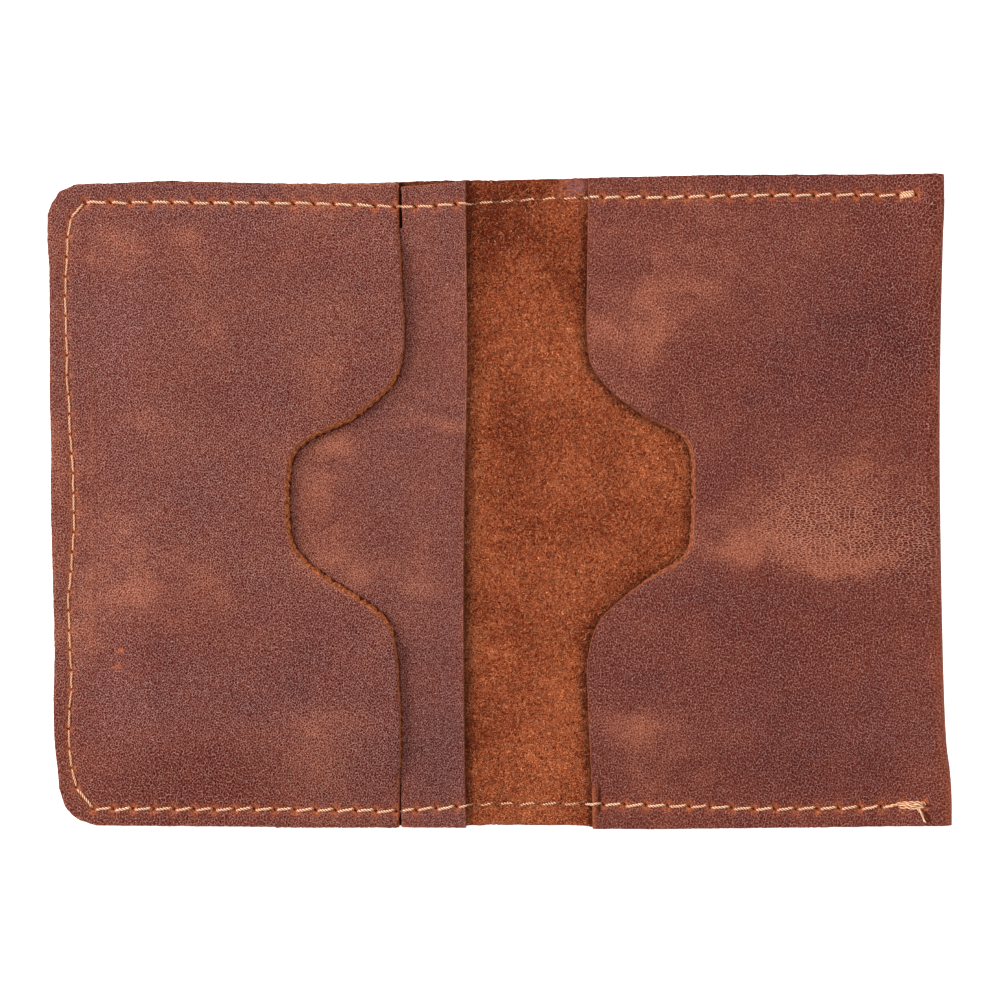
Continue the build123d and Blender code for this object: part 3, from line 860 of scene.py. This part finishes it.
def suede_material():
    """Flesh side: a short, curly, matt nap with dark hollows between its fibres."""
    s = Shader("suede")
    smear, shade, pit = s.channels()
    flat = s.place()
    bent = s.swayed(flat, 0.9, 2.2)
    one = s.noise(s.stretched(bent, (0.85, 1.7, 1)), 4.2, 2.0, 0.6)
    two = s.noise(s.stretched(bent, (0.85, 1.8, 1), 1.3), 4.0, 2.0, 0.6)
    clump = s.noise(flat, 0.55, 4.0, 0.6)
    broad = s.noise(flat, 0.05, 2.0, 0.5)
    value = s.both(s.math("MAXIMUM", one, two), 1.05, clump, 0.12)
    value = s.plus(value, s.swing(broad, 0.16))
    value = s.minus(value, s.times(shade, 0.13))
    dark = s.mix(s.ramp(value, 0.53, 0.67), SUEDE_DARK, SUEDE)
    light = s.mix(s.ramp(value, 0.67, 0.80), dark, SUEDE_LIGHT)
    marked = s.mix(s.times(smear, s.ramp(clump, 0.3, 0.5)), light, SUEDE_SMEAR)
    s.put(s.surface, "Sheen Weight", 0.12)
    s.put(s.surface, "Sheen Roughness", 0.5)
    s.put(s.surface, "Sheen Tint", srgb(230, 150, 100))
    # The pits channel paints shade into the suede: its slit, crevices, needle holes and the strips beside raised
    # edges.
    return s.finish(s.mix(s.ramp(pit, 0.0, 0.9), marked, SUEDE_SHADE), 0.95, 0.12, (0.8, 0.4, value))


def raw_edge_material():
    """Cut edge of the hide: orange-brown fibre with layers along it, brighter where the cut is bare."""
    s = Shader("raw_edge")
    flat = s.place()
    layers = s.noise(s.stretched(flat, (0.7, 4.0, 1)), 1.5, 4.0, 0.7)
    value = s.both(layers, 0.6, s.noise(flat, 3.4, 2.0, 0.7), 0.4)
    fresh, _, _ = s.channels()
    worn = s.mix(s.ramp(value, 0.36, 0.62), srgb(64, 26, 16), srgb(140, 74, 52))
    bare = s.mix(s.ramp(value, 0.42, 0.62), srgb(88, 34, 12), srgb(206, 118, 68))
    return s.finish(s.mix(fresh, worn, bare), 0.9, 0.15, (0.8, 0.3, value))


def thread_material():
    """Waxed sewing thread: light strands with painted highlight on their crowns and painted shade between them, more
    orange where its first channel says so, and painted shade where it dives into its holes.
    """
    s = Shader("thread")
    orange, dive_shade, crown_light = s.channels()
    fibre = s.noise(s.stretched(s.place(), (1.0, 6.0, 1)), 1.2, 3.0, 0.6)
    # Painted highlight on the strands' crowns and painted shade in the grooves between them.
    shine = s.plus(s.ramp(crown_light, 0.40, 0.96), s.swing(fibre, 0.7), True)
    base = s.mix(shine, srgb(170, 98, 56), srgb(246, 208, 172))
    tinted = s.mix(s.times(orange, 0.75), base, srgb(176, 98, 46))
    # Painted shade where the thread dives into its holes.
    return s.finish(s.mix(dive_shade, tinted, srgb(108, 48, 20)), 0.55, 0.25, (0.4, 0.06, fibre))


def nap_material():
    """Loose fibres of the flesh side, each a little lighter or darker than the next."""
    s = Shader("nap")
    tone, light, _ = s.channels()
    base = s.mix(tone, srgb(46, 8, 1), srgb(226, 142, 94))
    return s.finish(s.mix(light, base, srgb(240, 214, 184)), 0.8, 0.2)


POCKET_GRAIN = grain_material("pocket_grain", 0.50, 0.5, 1.0)
DIVIDER_GRAIN = grain_material("divider_grain", 0.44, -0.6, 0.95)
COVER_GRAIN = grain_material("cover_grain", 0.50, -0.35, 0.8)
SUEDE_SIDE = suede_material()
RAW_EDGE = raw_edge_material()
THREAD_FIBRE = thread_material()
NAP = nap_material()


# ------------------------ the cover, the divider and the card pocket

SEAM_GROOVE = 0.22                                # how deep thread tension draws the top face down
FURROW = 0.32                                     # depth of the furrow that the bobbin thread lies in


def past_divider(x):
    """0 under the divider and 1 on the bare suede beyond its edge."""
    return smooth(x, -7.5, -6.0)


def pressed(points, pierced=True):
    """How far the top face is drawn down beside the seam, with its holes if pierced."""
    from_seam, pit, rim = seam_marks(points)
    return SEAM_GROOVE * np.exp(-(from_seam / 0.95) ** 2) + 0.15 * rim + HOLE_DEPTH * pit * pierced


def place_pocket(points, through):
    """The card pocket's points in space."""
    top = pocket_height(points) - (1 - through) * pressed(points)
    return np.column_stack([points, top - through * LEATHER])


def place_divider(points, through):
    """The divider's points in space."""
    on_strip = points[:, 0] > POCKET_MOUTH + 0.2
    top = divider_height(points) - (1 - through) * pressed(points) * on_strip
    return np.column_stack([points, top - through * LEATHER])


def folded(points):
    """Where flat cover points lie on the page, once the strip is folded over."""
    start = fold_line(points[:, 1]) - FOLD_WIDE
    angle = np.clip((points[:, 0] - start) / FOLD_ARC, 0, math.pi)
    beyond = np.maximum(points[:, 0] - start - math.pi * FOLD_ARC, 0)
    x = np.minimum(points[:, 0], start) + FOLD_WIDE * np.sin(angle) - beyond
    return np.column_stack([x, points[:, 1]]), angle, beyond


def place_cover(points, through):
    """The cover's points in space: flat on the table, round the fold, then back as the flap. Through is 0
    on the grain, which is outside, and 1 on the suede."""
    page, angle, beyond = folded(points)
    start = fold_line(points[:, 1]) - FOLD_WIDE
    x = np.minimum(points[:, 0], start) + (FOLD_WIDE - through * LEATHER) * np.sin(angle) - beyond
    z = FOLD_HIGH - (FOLD_HIGH - through * LEATHER) * np.cos(angle)
    flap = beyond > 0
    on_face = (1 - through) * pressed(page)
    z = z + flap * (flap_height(page) - FLAP_TOP - on_face)
    flat = angle <= 0
    furrow = FURROW * np.exp(-(nearest(page, seam_tree)[0] / 0.55) ** 4) * (1 - through)
    seen = past_divider(page[:, 0]) * smooth(page[:, 0], 46, 44)
    sewn = 0.5 * pressed(page) * through * seen
    uneven = cover_floor(page) * through * seen
    z = z + flat * (furrow - sewn + uneven)
    return np.column_stack([x, points[:, 1], z])


def notch_lean(y):
    """How far the cut of the pocket's mouth leans out, which is most along its thumb notch."""
    return 0.30 + 0.65 * smooth(np.abs(y), 32, 26)


def paint_panel(ring, base, fresh, above=None):
    """Worn marks and painted shade of a single panel. Base is how coarse its grain is, and fresh how bare its cut edge
    is. Under the edge of a panel above, a painted shade keeps it dark."""
    ring_tree = tree_of(ring)
    above_tree = tree_of(above) if above is not None else None

    def paint(points, side):
        tone = mottling(points)
        marks = seam_stretch_and_hole_shade(points, 1.0 if side == GRAIN_SIDE else 0.2)
        if side == GRAIN_SIDE:
            tone = tone + 0.18 * smooth(nearest(points, ring_tree)[0], 0.9, 0)
            if above_tree is not None:
                # Painted shade: a dark, broken line in the crevice under the edge of the panel above.
                gap, _ = nearest(points, above_tree)
                lean = notch_lean(points[:, 1])
                broken = np.clip(0.75 + 1.3 * ripple(points, 0.8, 83.0), 0.1, 1)
                marks[:, 1] = np.maximum(marks[:, 1], broken * smooth(gap, lean + 0.70, lean + 0.1))
        if side == CUT_SIDE:
            tone = fresh * np.clip(1 + 1.2 * ripple(points, 0.7, 91.0), 0.2, 1.1)
        if above_tree is None:
            scuffs = bell(points, -81.4, -32.4, 0.6, 0.4) + bell(points, -81.8, -36.0, 0.8, 0.4)
            marks[:, 0] = np.clip(marks[:, 0] + scuffs, 0, 1)
        return np.column_stack([tone, marks, pebbles(points, base)])
    return paint


def dark_patches(points, upper, lower):
    """The two darker patches on the bare suede, each of its own strength."""
    return upper * bell(points, -0.5, 58, 8, 12) + lower * bell(points, 3, 11, 6, 14)


def paint_cover(ring):
    """Worn marks and painted shade of the cover: mottled grain outside and on the flap, with painted shade round the
    fold, in needle holes and in the crease behind the lip, and marked suede inside, with painted shade in its slit,
    under the divider's top and beside raised edges.
    """
    mouth = folded(ring)[0][ring[:, 0] > PAST_FOLD]
    mouth_tree = tree_of(mouth) if len(mouth) else None

    def paint(points, side):
        page, angle, beyond = folded(points)
        marks = seam_stretch_and_hole_shade(page, 1.0 if side == GRAIN_SIDE else 0.1)
        x, y = page.T
        grain = pebbles(page, 0.55)
        if side == FLESH_SIDE:
            smear = 1.4 * bell(page, 17.4, 68.0, 2.4, 1.6)
            # Painted shade on the suede: in the slit beside the divider's tab, on the ledge under the divider's top
            # edge, beside the divider's right edge and along the flap's mouth.
            slit_shade = smooth(x, DIVIDER_TAB + 0.2, DIVIDER_TAB - 0.2) * smooth(x, -23, -22)
            shelf_shade = smooth(y, 67.6, 68.2) * smooth(x, -8, -12)
            beside = 0.55 * smooth(x, DIVIDER_EDGE + 2.6, DIVIDER_EDGE - 0.6)
            if mouth_tree:
                gap, _ = nearest(page, mouth_tree)
                uneven = np.clip(0.8 + 0.8 * ripple(page, 1.3, 87.0), 0.2, 1)
                beside = np.maximum(beside, 0.42 * uneven * smooth(gap, 3.0, 0.9))
            marks[:, 0] = dark_patches(page, 0.6, 0.25)
            marks[:, 1] = np.maximum(marks[:, 1], np.maximum(0.9 * slit_shade, np.maximum(0.55 * shelf_shade, beside)))
            return np.column_stack([np.clip(smear, 0, 1), np.clip(marks, 0, 1), grain])
        tone = mottling(page)
        # Round the fold the grain is tinted orange where it is stretched, and darkened as painted shade on the fold's
        # outward-facing side.
        bent = smooth(fold_line(y) - x, 3.6, 0.0)
        marks[:, 0] = np.maximum(marks[:, 0], bent * (0.10 + 0.12 * smooth(y, 20, -60)))
        tone = tone - 0.30 * bent
        if side == CUT_SIDE:
            tone = np.full(len(points), 0.3)
        if side == GRAIN_SIDE:
            # Two more needle holes near the knot, painted dark as shade in the holes.
            leaning = np.column_stack([x + 0.5 * (y + 68.3), y])
            pierced = bell(leaning, 93.35, -68.5, 0.34, 1.2) + bell(page, 93.6, -66.1, 0.7, 0.28)
            marks[:, 1] = np.maximum(marks[:, 1], np.clip(1.8 * pierced, 0, 1))
        if mouth_tree:
            # The crease behind the curled lip gets painted shade.
            lip, behind = curled_lip(page)
            on_flap = beyond > 0
            marks[:, 0] = np.maximum(marks[:, 0], 0.45 * lip * on_flap)
            marks[:, 1] = np.maximum(marks[:, 1], 0.7 * behind * on_flap)
        return np.column_stack([np.clip(tone, 0, 1.15), marks, grain])
    return paint


HIDE = [SUEDE_SIDE, RAW_EDGE]

pocket_line = ragged(pocket_ring(), 0.13, 3.2, 1.0)
in_mouth = pocket_line[:, 0] > NOTCH_START
card_pocket = leather_sheet(
    "card_pocket", pocket_line, place_pocket, paint_panel(pocket_line, 0.10, 0.85),
    np.where(in_mouth, notch_lean(pocket_line[:, 1]), 0.12), 11, [POCKET_GRAIN] + HIDE)

pocket_tree = tree_of(pocket_line)
divider_line = ragged(divider_ring(), 0.06, 5.0, 2.0)
divider = leather_sheet(
    "divider", divider_line, place_divider, paint_panel(divider_line, 0.05, 0.6, pocket_line),
    np.full(len(divider_line), 0.15), 12, [DIVIDER_GRAIN] + HIDE,
    close=lambda points: nearest(points, pocket_tree)[0] < 1.8)


def on_page(points):
    """Where flat cover points lie on the page."""
    return folded(points)[0]


left_line = cover_left_ring()
on_split = np.abs(left_line[:, 0]) < 1e-6
left_line = ragged(left_line, 0.16, 2.2, 3.0, on_split)
cover_left = leather_sheet(
    "cover_leather_left", left_line, place_cover, paint_cover(left_line),
    np.where(on_split, 0.0, 0.15), 13, [COVER_GRAIN] + HIDE, on_page, flip=True)


def in_fold_or_lip(points):
    """The soft fold, and the curled lip at the flap's lower mouth corner."""
    _, angle, beyond = folded(points)
    return ((angle > 0) & (beyond < 1.0)) | ((points[:, 1] < -59) & (points[:, 0] > 164))


def under_flap(points):
    """The flat part of the cover that the flap hides, away from the flap's mouth and the fold."""
    x, y = points.T
    return (x > np.where(np.abs(y) < 30, 48, 26)) & (x < 90)


right_line = cover_right_ring()
on_split = np.abs(right_line[:, 0]) < 1e-6
right_line = ragged(right_line, 0.11, 3.4, 4.0, on_split)
at_notch = smooth(np.abs(right_line[:, 1]), 22, 14) * smooth(right_line[:, 0], PAST_FOLD, PAST_FOLD + 20)
cover_right = leather_sheet(
    "cover_leather_right", right_line, place_cover, paint_cover(right_line),
    np.where(on_split, 0.0, 0.14 + 0.75 * at_notch), 14, [COVER_GRAIN] + HIDE, on_page,
    in_fold_or_lip, under_flap, flip=True)


# ------------------------ stitches

PLIES = 2                                         # strands twisted into the thread
STRAND_OUT, STRAND_RADIUS = 0.54, 0.52            # where a strand lies and its size, in radii of the thread
STRAND_SIDES = 6
STITCH_POINTS = 23                                # places along each stitch


def top_of_layers(points):
    """Height of whatever lies uppermost under the needle thread."""
    x = points[:, 0]
    height = np.full(len(points), LEATHER) + cover_floor(points)
    height = np.where((x > DIVIDER_TAB - 0.3) & (x < DIVIDER_EDGE), divider_height(points), height)
    height = np.where(x < POCKET_MOUTH, pocket_height(points), height)
    height = np.where(x > FLAP_MOUTH, flap_height(points), height)
    return height - pressed(points, False)


def under_face(points):
    """Height of the cover's outer face along the bobbin thread, just above its furrow's bottom."""
    return np.full(len(points), FURROW + 0.02)


class Yarn:
    """Collects runs of twisted thread into one piece."""

    def __init__(self):
        self.count = 0
        self.verts, self.faces, self.flat, self.wear_and_shade = [], [], [], []

    def lay(self, path, across, radius, pitch, phase, orange, dive_shade):
        """Adds a run of thread along a path. Across is a unit vector beside each point, pitch the length of one twist,
        orange how orange the run is and the last argument how much painted shade it has at each point, where it dives
        into a hole."""
        along = np.gradient(path, axis=0)
        along /= np.linalg.norm(along, axis=1)[:, None]
        up = np.cross(along, across)
        run = run_along(path)
        sides = np.arange(STRAND_SIDES)
        after = (sides + 1) % STRAND_SIDES
        spoke = (2 * math.pi / STRAND_SIDES * sides)[:, None]
        spokes = np.cos(spoke) * across[:, None] + np.sin(spoke) * up[:, None]
        starts = STRAND_SIDES * np.arange(len(path) - 1)[:, None]
        walls = np.stack([starts + sides, starts + after, starts + after + STRAND_SIDES,
                          starts + sides + STRAND_SIDES], axis=-1).reshape(-1, 4)
        last = STRAND_SIDES * (len(path) - 1) + sides
        for ply in range(PLIES):
            turn = 2 * math.pi * (run / pitch + ply / PLIES) + phase
            offset = np.cos(turn)[:, None] * across + np.sin(turn)[:, None] * up
            verts = (path + STRAND_OUT * radius * offset)[:, None] + STRAND_RADIUS * radius * spokes
            reach = (STRAND_OUT + STRAND_RADIUS) * radius
            # How far out on its strand each point lies, from which the thread's material paints light on the crowns
            # and shade in the grooves.
            crown_light = np.linalg.norm(verts - path[:, None], axis=-1) / reach
            where = np.meshgrid(run + ply * 7.3 + phase, 0.4 * sides + ply, indexing="ij")
            self.verts.append(verts.reshape(-1, 3))
            self.flat.append(np.stack(where, axis=-1).reshape(-1, 2))
            self.wear_and_shade.append(np.column_stack([np.full(crown_light.size, orange), np.repeat(dive_shade, STRAND_SIDES),
                                              crown_light.ravel()]))
            self.faces += (self.count + walls).tolist()
            self.faces += [(self.count + sides[::-1]).tolist(), (self.count + last).tolist()]
            self.count += crown_light.size

    def piece(self, name):
        """The finished mesh object."""
        return make_piece(name, np.vstack(self.verts), self.faces, np.zeros(len(self.faces)),
                          np.vstack(self.flat), np.vstack(self.wear_and_shade), [THREAD_FIBRE])


def stitch(yarn, start, end, surface, radius, orange, rng, upper):
    """One stitch from a hole to the next, up out of the leather, along it and down again."""
    chord = end - start
    length = np.linalg.norm(chord)
    side = np.array([-chord[1], chord[0]]) / length
    upright = abs(chord[0]) < abs(chord[1])
    slant = rng.uniform(0.10, 0.26) if start[1] > 0 else rng.uniform(0.20, 0.42)
    if upright:
        slant = rng.uniform(-0.08, 0.08)
    slant = slant if chord[0] > 0 else -slant
    t = np.linspace(0, 1, STITCH_POINTS)
    bow = rng.uniform(-0.10, 0.10) * np.sin(math.pi * t) + slant * (t - 0.5) * 2
    bow = bow + 0.03 * np.sin(2 * math.pi * (t * rng.uniform(1.5, 3) + rng.random()))
    page = start + chord * t[:, None] + side * bow[:, None]
    base = surface(page)
    eased = np.convolve(np.pad(base, 2, mode="edge"), np.ones(5) / 5, mode="valid")
    base = np.maximum(base, eased) if upper else np.minimum(base, eased)
    near, far = (0.03, 0.13) if upright else (0.07, 0.235)
    dive = 1 - smooth(np.minimum(t, 1 - t), near + rng.uniform(-0.02, 0.02), far)
    lift = radius * 0.72 - dive * (radius * 0.72 + 0.62)
    sunk = 0.16 * past_divider(page[:, 0]) * smooth(page[:, 0], FLAP_MOUTH, FLAP_MOUTH - 1.4)
    z = base + lift - sunk if upper else base - lift
    across = np.tile(np.append(side, 0.0), (STITCH_POINTS, 1))
    # The dive share also paints shade on the thread where it goes down into its holes.
    yarn.lay(np.column_stack([page, z]), across, radius, rng.uniform(1.15, 1.45), rng.uniform(0, 6.28),
             orange, 0.85 * dive)


def sewn(rows, surface, upper, rng):
    """A yarn of stitches from rows of needle holes, over the surface or under it."""
    yarn = Yarn()
    for holes in rows:
        for start, end in zip(holes, holes[1:]):
            x = (start[0] + end[0]) / 2
            on_left = x < TIGHT_SIDE + 0.1
            on_spine = DIVIDER_EDGE < x < 20
            radius = THREAD * (0.72 if on_left else 0.86 if on_spine else 1.0) * rng.uniform(0.93, 1.05)
            doubled = len(holes) < 4
            orange = (0.5 if on_left or doubled else 0.2) + rng.uniform(-0.15, 0.15)
            if not upper:
                radius, orange = THREAD * 0.85, 0.35 + rng.uniform(-0.1, 0.1)
            stitch(yarn, start, end, surface, radius, orange, rng, upper)
    return yarn


def wandered(holes, seed):
    """The holes a little off their even places, apart from the first and the last."""
    off = np.random.default_rng(seed).uniform(-1, 1, holes.shape) * (0.20, 0.09)
    off[0] = off[-1] = 0
    return holes + off


def loose(yarn, points, radius, pitch, orange, rng):
    """A loose run of thread through points whose last number is the height over the leather."""
    path = curved(points, 0.22)
    drift = 0.16 * np.column_stack([ripple(path, 1.1, rng.uniform(0, 90)) for _ in range(2)])
    path[:, :2] += drift
    path[:, 2] += top_of_layers(path[:, :2])
    along = np.gradient(path[:, :2], axis=0)
    across = np.column_stack([-along[:, 1], along[:, 0], np.zeros(len(path))])
    across /= np.linalg.norm(across, axis=1)[:, None]
    yarn.lay(path, across, radius, pitch, rng.uniform(0, 6.28), orange, np.zeros(len(path)))


# The thread's end is sewn back over itself in loose passes, then hangs out in a frayed tail.
KNOT = [
    [(84.4, -66.6, -0.2), (85.6, -66.3, 0.25), (87.6, -65.75, 0.35), (89.4, -65.55, 0.4),
     (91.1, -65.45, 0.45), (92.3, -65.4, 0.4), (92.9, -65.9, -0.1)],
    [(87.2, -66.3, 0.1), (88.6, -66.0, 0.5), (90.0, -66.25, 0.6), (91.3, -65.95, 0.6), (92.4, -66.1, 0.1)],
    [(87.6, -66.75, 0.0), (89.0, -66.6, 0.4), (90.4, -66.8, 0.45), (91.7, -66.65, 0.35),
     (92.6, -66.3, -0.1)],
]
TAIL = [(91.3, -66.4, 0.35), (91.8, -67.3, 0.4), (92.3, -68.4, 0.3), (92.8, -69.6, 0.25)]

left_rows = [wandered(HOLES["left"], 21)]
top_end, bottom_end = HOLES["top"][-2:], HOLES["bottom"][-2:]
right_rows = [
    wandered(HOLES["top"], 22), top_end + (0.05, 0.44), top_end + (-0.1, -0.42),
    wandered(HOLES["bottom"][:-1], 23), bottom_end + [(0.1, -0.25), (0.2, 0.15)],
]

yarn = sewn(left_rows, top_of_layers, True, np.random.default_rng(31))
needle_left = yarn.piece("needle_thread_left_half")
rng = np.random.default_rng(32)
yarn = sewn(right_rows, top_of_layers, True, rng)
for places in KNOT:
    loose(yarn, places, THREAD * rng.uniform(0.8, 1.1), rng.uniform(2.4, 4.2), rng.uniform(0.3, 0.7), rng)
for shift in (-0.30, -0.04, 0.26):
    frayed = [(x + shift * (1 - 0.5 * k), y + 0.4 * shift, z) for k, (x, y, z) in enumerate(TAIL)]
    loose(yarn, frayed, THREAD * 0.58, 3.4, 0.45, rng)
needle_right = yarn.piece("needle_thread_right_half")
yarn = sewn(left_rows, under_face, False, np.random.default_rng(33))
bobbin_left = yarn.piece("bobbin_thread_left_half")
yarn = sewn(right_rows, under_face, False, np.random.default_rng(34))
bobbin_right = yarn.piece("bobbin_thread_right_half")


# ------------------------ loose fibres

# Faces of one fibre, a three-sided strand: corners 0 to 2 are at its root, 3 to 5 halfway and 6 its tip.
FIBRE_FACES = [(0, 1, 2), (0, 2, 5, 3), (2, 1, 4, 5), (1, 0, 3, 4), (3, 5, 6), (5, 4, 6), (4, 3, 6)]


def fibres(name, *groups):
    """One piece of short curly fibres. Each group lists their roots, lengths, headings, curls, widths,
    colours and lifts."""
    joined = [np.concatenate(column) for column in zip(*groups)]
    roots, lengths, headings, curls, widths, colours, lifts = joined
    x, y, z = roots.T
    points = []
    for share in (0, 0.5, 1):
        here = headings + curls * share
        radius = widths * (1 - 0.75 * share)
        up = z + lifts * math.sin(math.pi * (0.8 * share + 0.05)) - 0.05 * (share == 0)
        out_x, out_y = -np.sin(here) * radius, np.cos(here) * radius
        if share < 1:
            points += [(x + out_x, y + out_y, up), (x - out_x, y - out_y, up), (x, y, up + radius * 1.6)]
        else:
            points += [(x, y, up)]
        x = x + np.cos(here) * lengths / 2
        y = y + np.sin(here) * lengths / 2
    verts = np.transpose(points, (2, 0, 1)).reshape(-1, 3)
    starts = range(0, len(verts), len(points))
    faces = [tuple(start + corner for corner in face) for start in starts for face in FIBRE_FACES]
    return make_piece(name, verts, faces, np.zeros(len(faces)), verts[:, :2],
                      np.repeat(colours, len(points), axis=0), [NAP])


def nap_fibres(low, high, count, rng):
    """The nap on the cover's inside between two values of X, where no panel lies on it."""
    points = np.column_stack([rng.uniform(low, high, count), rng.uniform(-70.2, 69.2, count)])
    mouth = folded(right_line)[0][right_line[:, 0] > PAST_FOLD]
    mouth = mouth[np.argsort(mouth[:, 1])]
    gap = np.interp(points[:, 1], mouth[:, 1], mouth[:, 0]) - points[:, 0]
    points, gap = points[gap > -0.4], gap[gap > -0.4]
    count = len(points)
    height = LEATHER + cover_floor(points) - 0.5 * pressed(points)
    swirl = 3.0 * ripple(points, 7, 41.0)
    # Fibres beside the divider's right edge and along the flap's mouth are painted darker, a painted shade.
    dark = 0.5 * np.maximum(smooth(points[:, 0] - DIVIDER_EDGE, 2.2, 0), smooth(gap, 1.6, 0.1))
    tone = np.clip(rng.normal(0.46, 0.36, count) - dark - dark_patches(points, 0.25, 0.1), 0, 1)
    pale = (rng.random(count) > 0.997) * rng.uniform(0.4, 1.0, count)
    return [
        np.column_stack([points, height]), rng.uniform(0.3, 0.85, count), swirl + rng.normal(0, 0.9, count),
        rng.normal(0, 1.9, count), rng.uniform(0.035, 0.07, count),
        np.column_stack([tone, pale, np.zeros(count)]), rng.uniform(0.06, 0.36, count),
    ]


def edge_fibres(line, normals, heights, count, tone, rng):
    """Short fibres that stand out of a cut edge."""
    which = rng.integers(0, len(line), count)
    roots = np.column_stack([line[which] - 0.05 * normals[which], heights[which]])
    heading = np.arctan2(normals[which, 1], normals[which, 0]) + rng.normal(0, 0.8, count)
    shade = np.clip(rng.normal(tone, 0.22, count), 0, 1)
    return [
        roots, rng.uniform(0.15, 0.62, count), heading, rng.normal(0, 1.2, count),
        rng.uniform(0.025, 0.05, count), np.column_stack([shade, 0 * shade, 0 * shade]),
        rng.uniform(0.0, 0.12, count),
    ]


def rim_fibres(line, chosen, low, high, count, rng):
    """Fibres of the chosen part of a cut edge that lies on the table, rooted between two heights."""
    edge = line[chosen]
    return edge_fibres(edge, outward(line)[chosen], rng.uniform(low, high, len(edge)), count, 0.08, rng)


rng = np.random.default_rng(51)
nap_left = fibres(
    "suede_nap_left", nap_fibres(DIVIDER_EDGE - 0.4, -0.05, 5200, rng),
    rim_fibres(left_line, np.abs(left_line[:, 0]) > 1, 0.5, 1.2, 620, rng))
nap_right = fibres(
    "suede_nap_right", nap_fibres(0.05, 44.2, 32000, rng),
    rim_fibres(right_line, (right_line[:, 0] > 1) & (right_line[:, 0] < 90), 0.5, 1.1, 260, rng))

mouth_line, mouth_out = pocket_line[in_mouth], outward(pocket_line)[in_mouth]
mouth_low = pocket_height(mouth_line) - LEATHER * rng.uniform(0.5, 1.0, len(mouth_line))
mouth_line = mouth_line + 0.6 * notch_lean(mouth_line[:, 1])[:, None] * mouth_out
pocket_nap = fibres("pocket_edge_nap", edge_fibres(mouth_line, mouth_out, mouth_low, 900, 0.3, rng))


# ------------------------ bodies and replaced nodes

def bend(fold):
    """Where the bend of a fold at the X given starts and ends, in metres."""
    start, end = (((fold + reach) * MM, 0, LEATHER * MM) for reach in (-HINGE_REACH, HINGE_REACH))
    return {"start": start, "end": end}


BEND_LEFT, BEND_RIGHT = bend(-HINGE), bend(HINGE)

for piece in (cover_left, needle_left, bobbin_left, nap_left):
    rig.blend(piece, "left_half", "spine", **BEND_LEFT)
for piece in (cover_right, needle_right, bobbin_right, nap_right):
    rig.blend(piece, "spine", "right_half", **BEND_RIGHT)
for piece in (divider, card_pocket, pocket_nap):
    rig.ride(piece, "left_half")

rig.replaces(cover_left, "cover_left", "cover_spine")
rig.replaces(cover_right, "cover_right", "cover_edge_fold_lower", "cover_edge_fold_upper", "cover_flap")
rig.replaces(divider, "divider_panel", "divider_tab_top", "divider_tab_bottom")
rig.replaces(card_pocket, "card_pocket_panel")
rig.replaces(needle_left, "needle_thread_left", "needle_thread_spine")
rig.replaces(needle_right, "needle_thread_right")
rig.replaces(bobbin_left, "bobbin_thread_left", "bobbin_thread_spine")
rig.replaces(bobbin_right, "bobbin_thread_right")

for piece in (cover_left, cover_right, divider, card_pocket, nap_left, nap_right, pocket_nap):
    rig.slot(piece, "leather")
for piece in (needle_left, needle_right, bobbin_left, bobbin_right):
    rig.slot(piece, "thread")


# ------------------------ floor, light and camera

FLOOR_HALF = 2.5                                  # half width of the table in metres


def make_floor():
    """A plain white table under the wallet."""
    mesh = bpy.data.meshes.new("floor")
    corners = ((-1, -1), (1, -1), (1, 1), (-1, 1))
    mesh.from_pydata([(FLOOR_HALF * x, FLOOR_HALF * y, -0.1 * MM) for x, y in corners], [], [(0, 1, 2, 3)])
    material = bpy.data.materials.new("floor_white")
    material.use_nodes = True
    shader = material.node_tree.nodes["Principled BSDF"]
    shader.inputs["Base Color"].default_value = (0.97, 0.97, 0.97, 1)
    shader.inputs["Roughness"].default_value = 1.0
    shader.inputs["Specular IOR Level"].default_value = 0.0
    shader.inputs["Emission Color"].default_value = (1, 1, 1, 1)
    shader.inputs["Emission Strength"].default_value = 0.6
    mesh.materials.append(material)
    return shown("floor", mesh)


def soft_light(name, place, size, power):
    """A large soft panel of light that faces the wallet."""
    data = bpy.data.lights.new(name, "AREA")
    data.shape = "RECTANGLE"
    data.size, data.size_y = size
    data.energy = power
    lamp = shown(name, data)
    lamp.location = place
    lamp.rotation_mode = "QUATERNION"
    lamp.rotation_quaternion = (-Vector(place)).to_track_quat("-Z", "Y")


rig.stage(make_floor())
soft_light("left_panel", (-1.0, 0.35, 0.50), (0.55, 0.55), 23.0)
soft_light("right_panel", (0.75, -0.05, 1.0), (0.7, 0.7), 8.5)
soft_light("overhead", (0.0, 0.55, 1.3), (1.2, 0.8), 7.0)

world = bpy.data.worlds.new("studio")
world.use_nodes = True
world.node_tree.nodes["Background"].inputs["Color"].default_value = (1, 1, 1, 1)
world.node_tree.nodes["Background"].inputs["Strength"].default_value = 0.34
bpy.context.scene.world = world

SENSOR, LENS = 36.0, 120.0
VIEW_WIDTH = 217.0                                # width of the picture where the wallet lies
camera_data = bpy.data.cameras.new("camera")
camera_data.sensor_width = SENSOR
camera_data.lens = LENS
camera_data.clip_start = 0.01
camera = shown("camera", camera_data)
camera.location = (0.8 * MM, 0.1 * MM, (VIEW_WIDTH * LENS / SENSOR + RIM) * MM)
bpy.context.scene.camera = camera
bpy.context.scene.view_settings.view_transform = "Standard"

visual_low, visual_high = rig.bounds()
with open("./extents.json", "w") as size_file:
    json.dump({"cad": [list(cad_low), list(cad_high)], "visual": [list(visual_low), list(visual_high)]}, size_file)
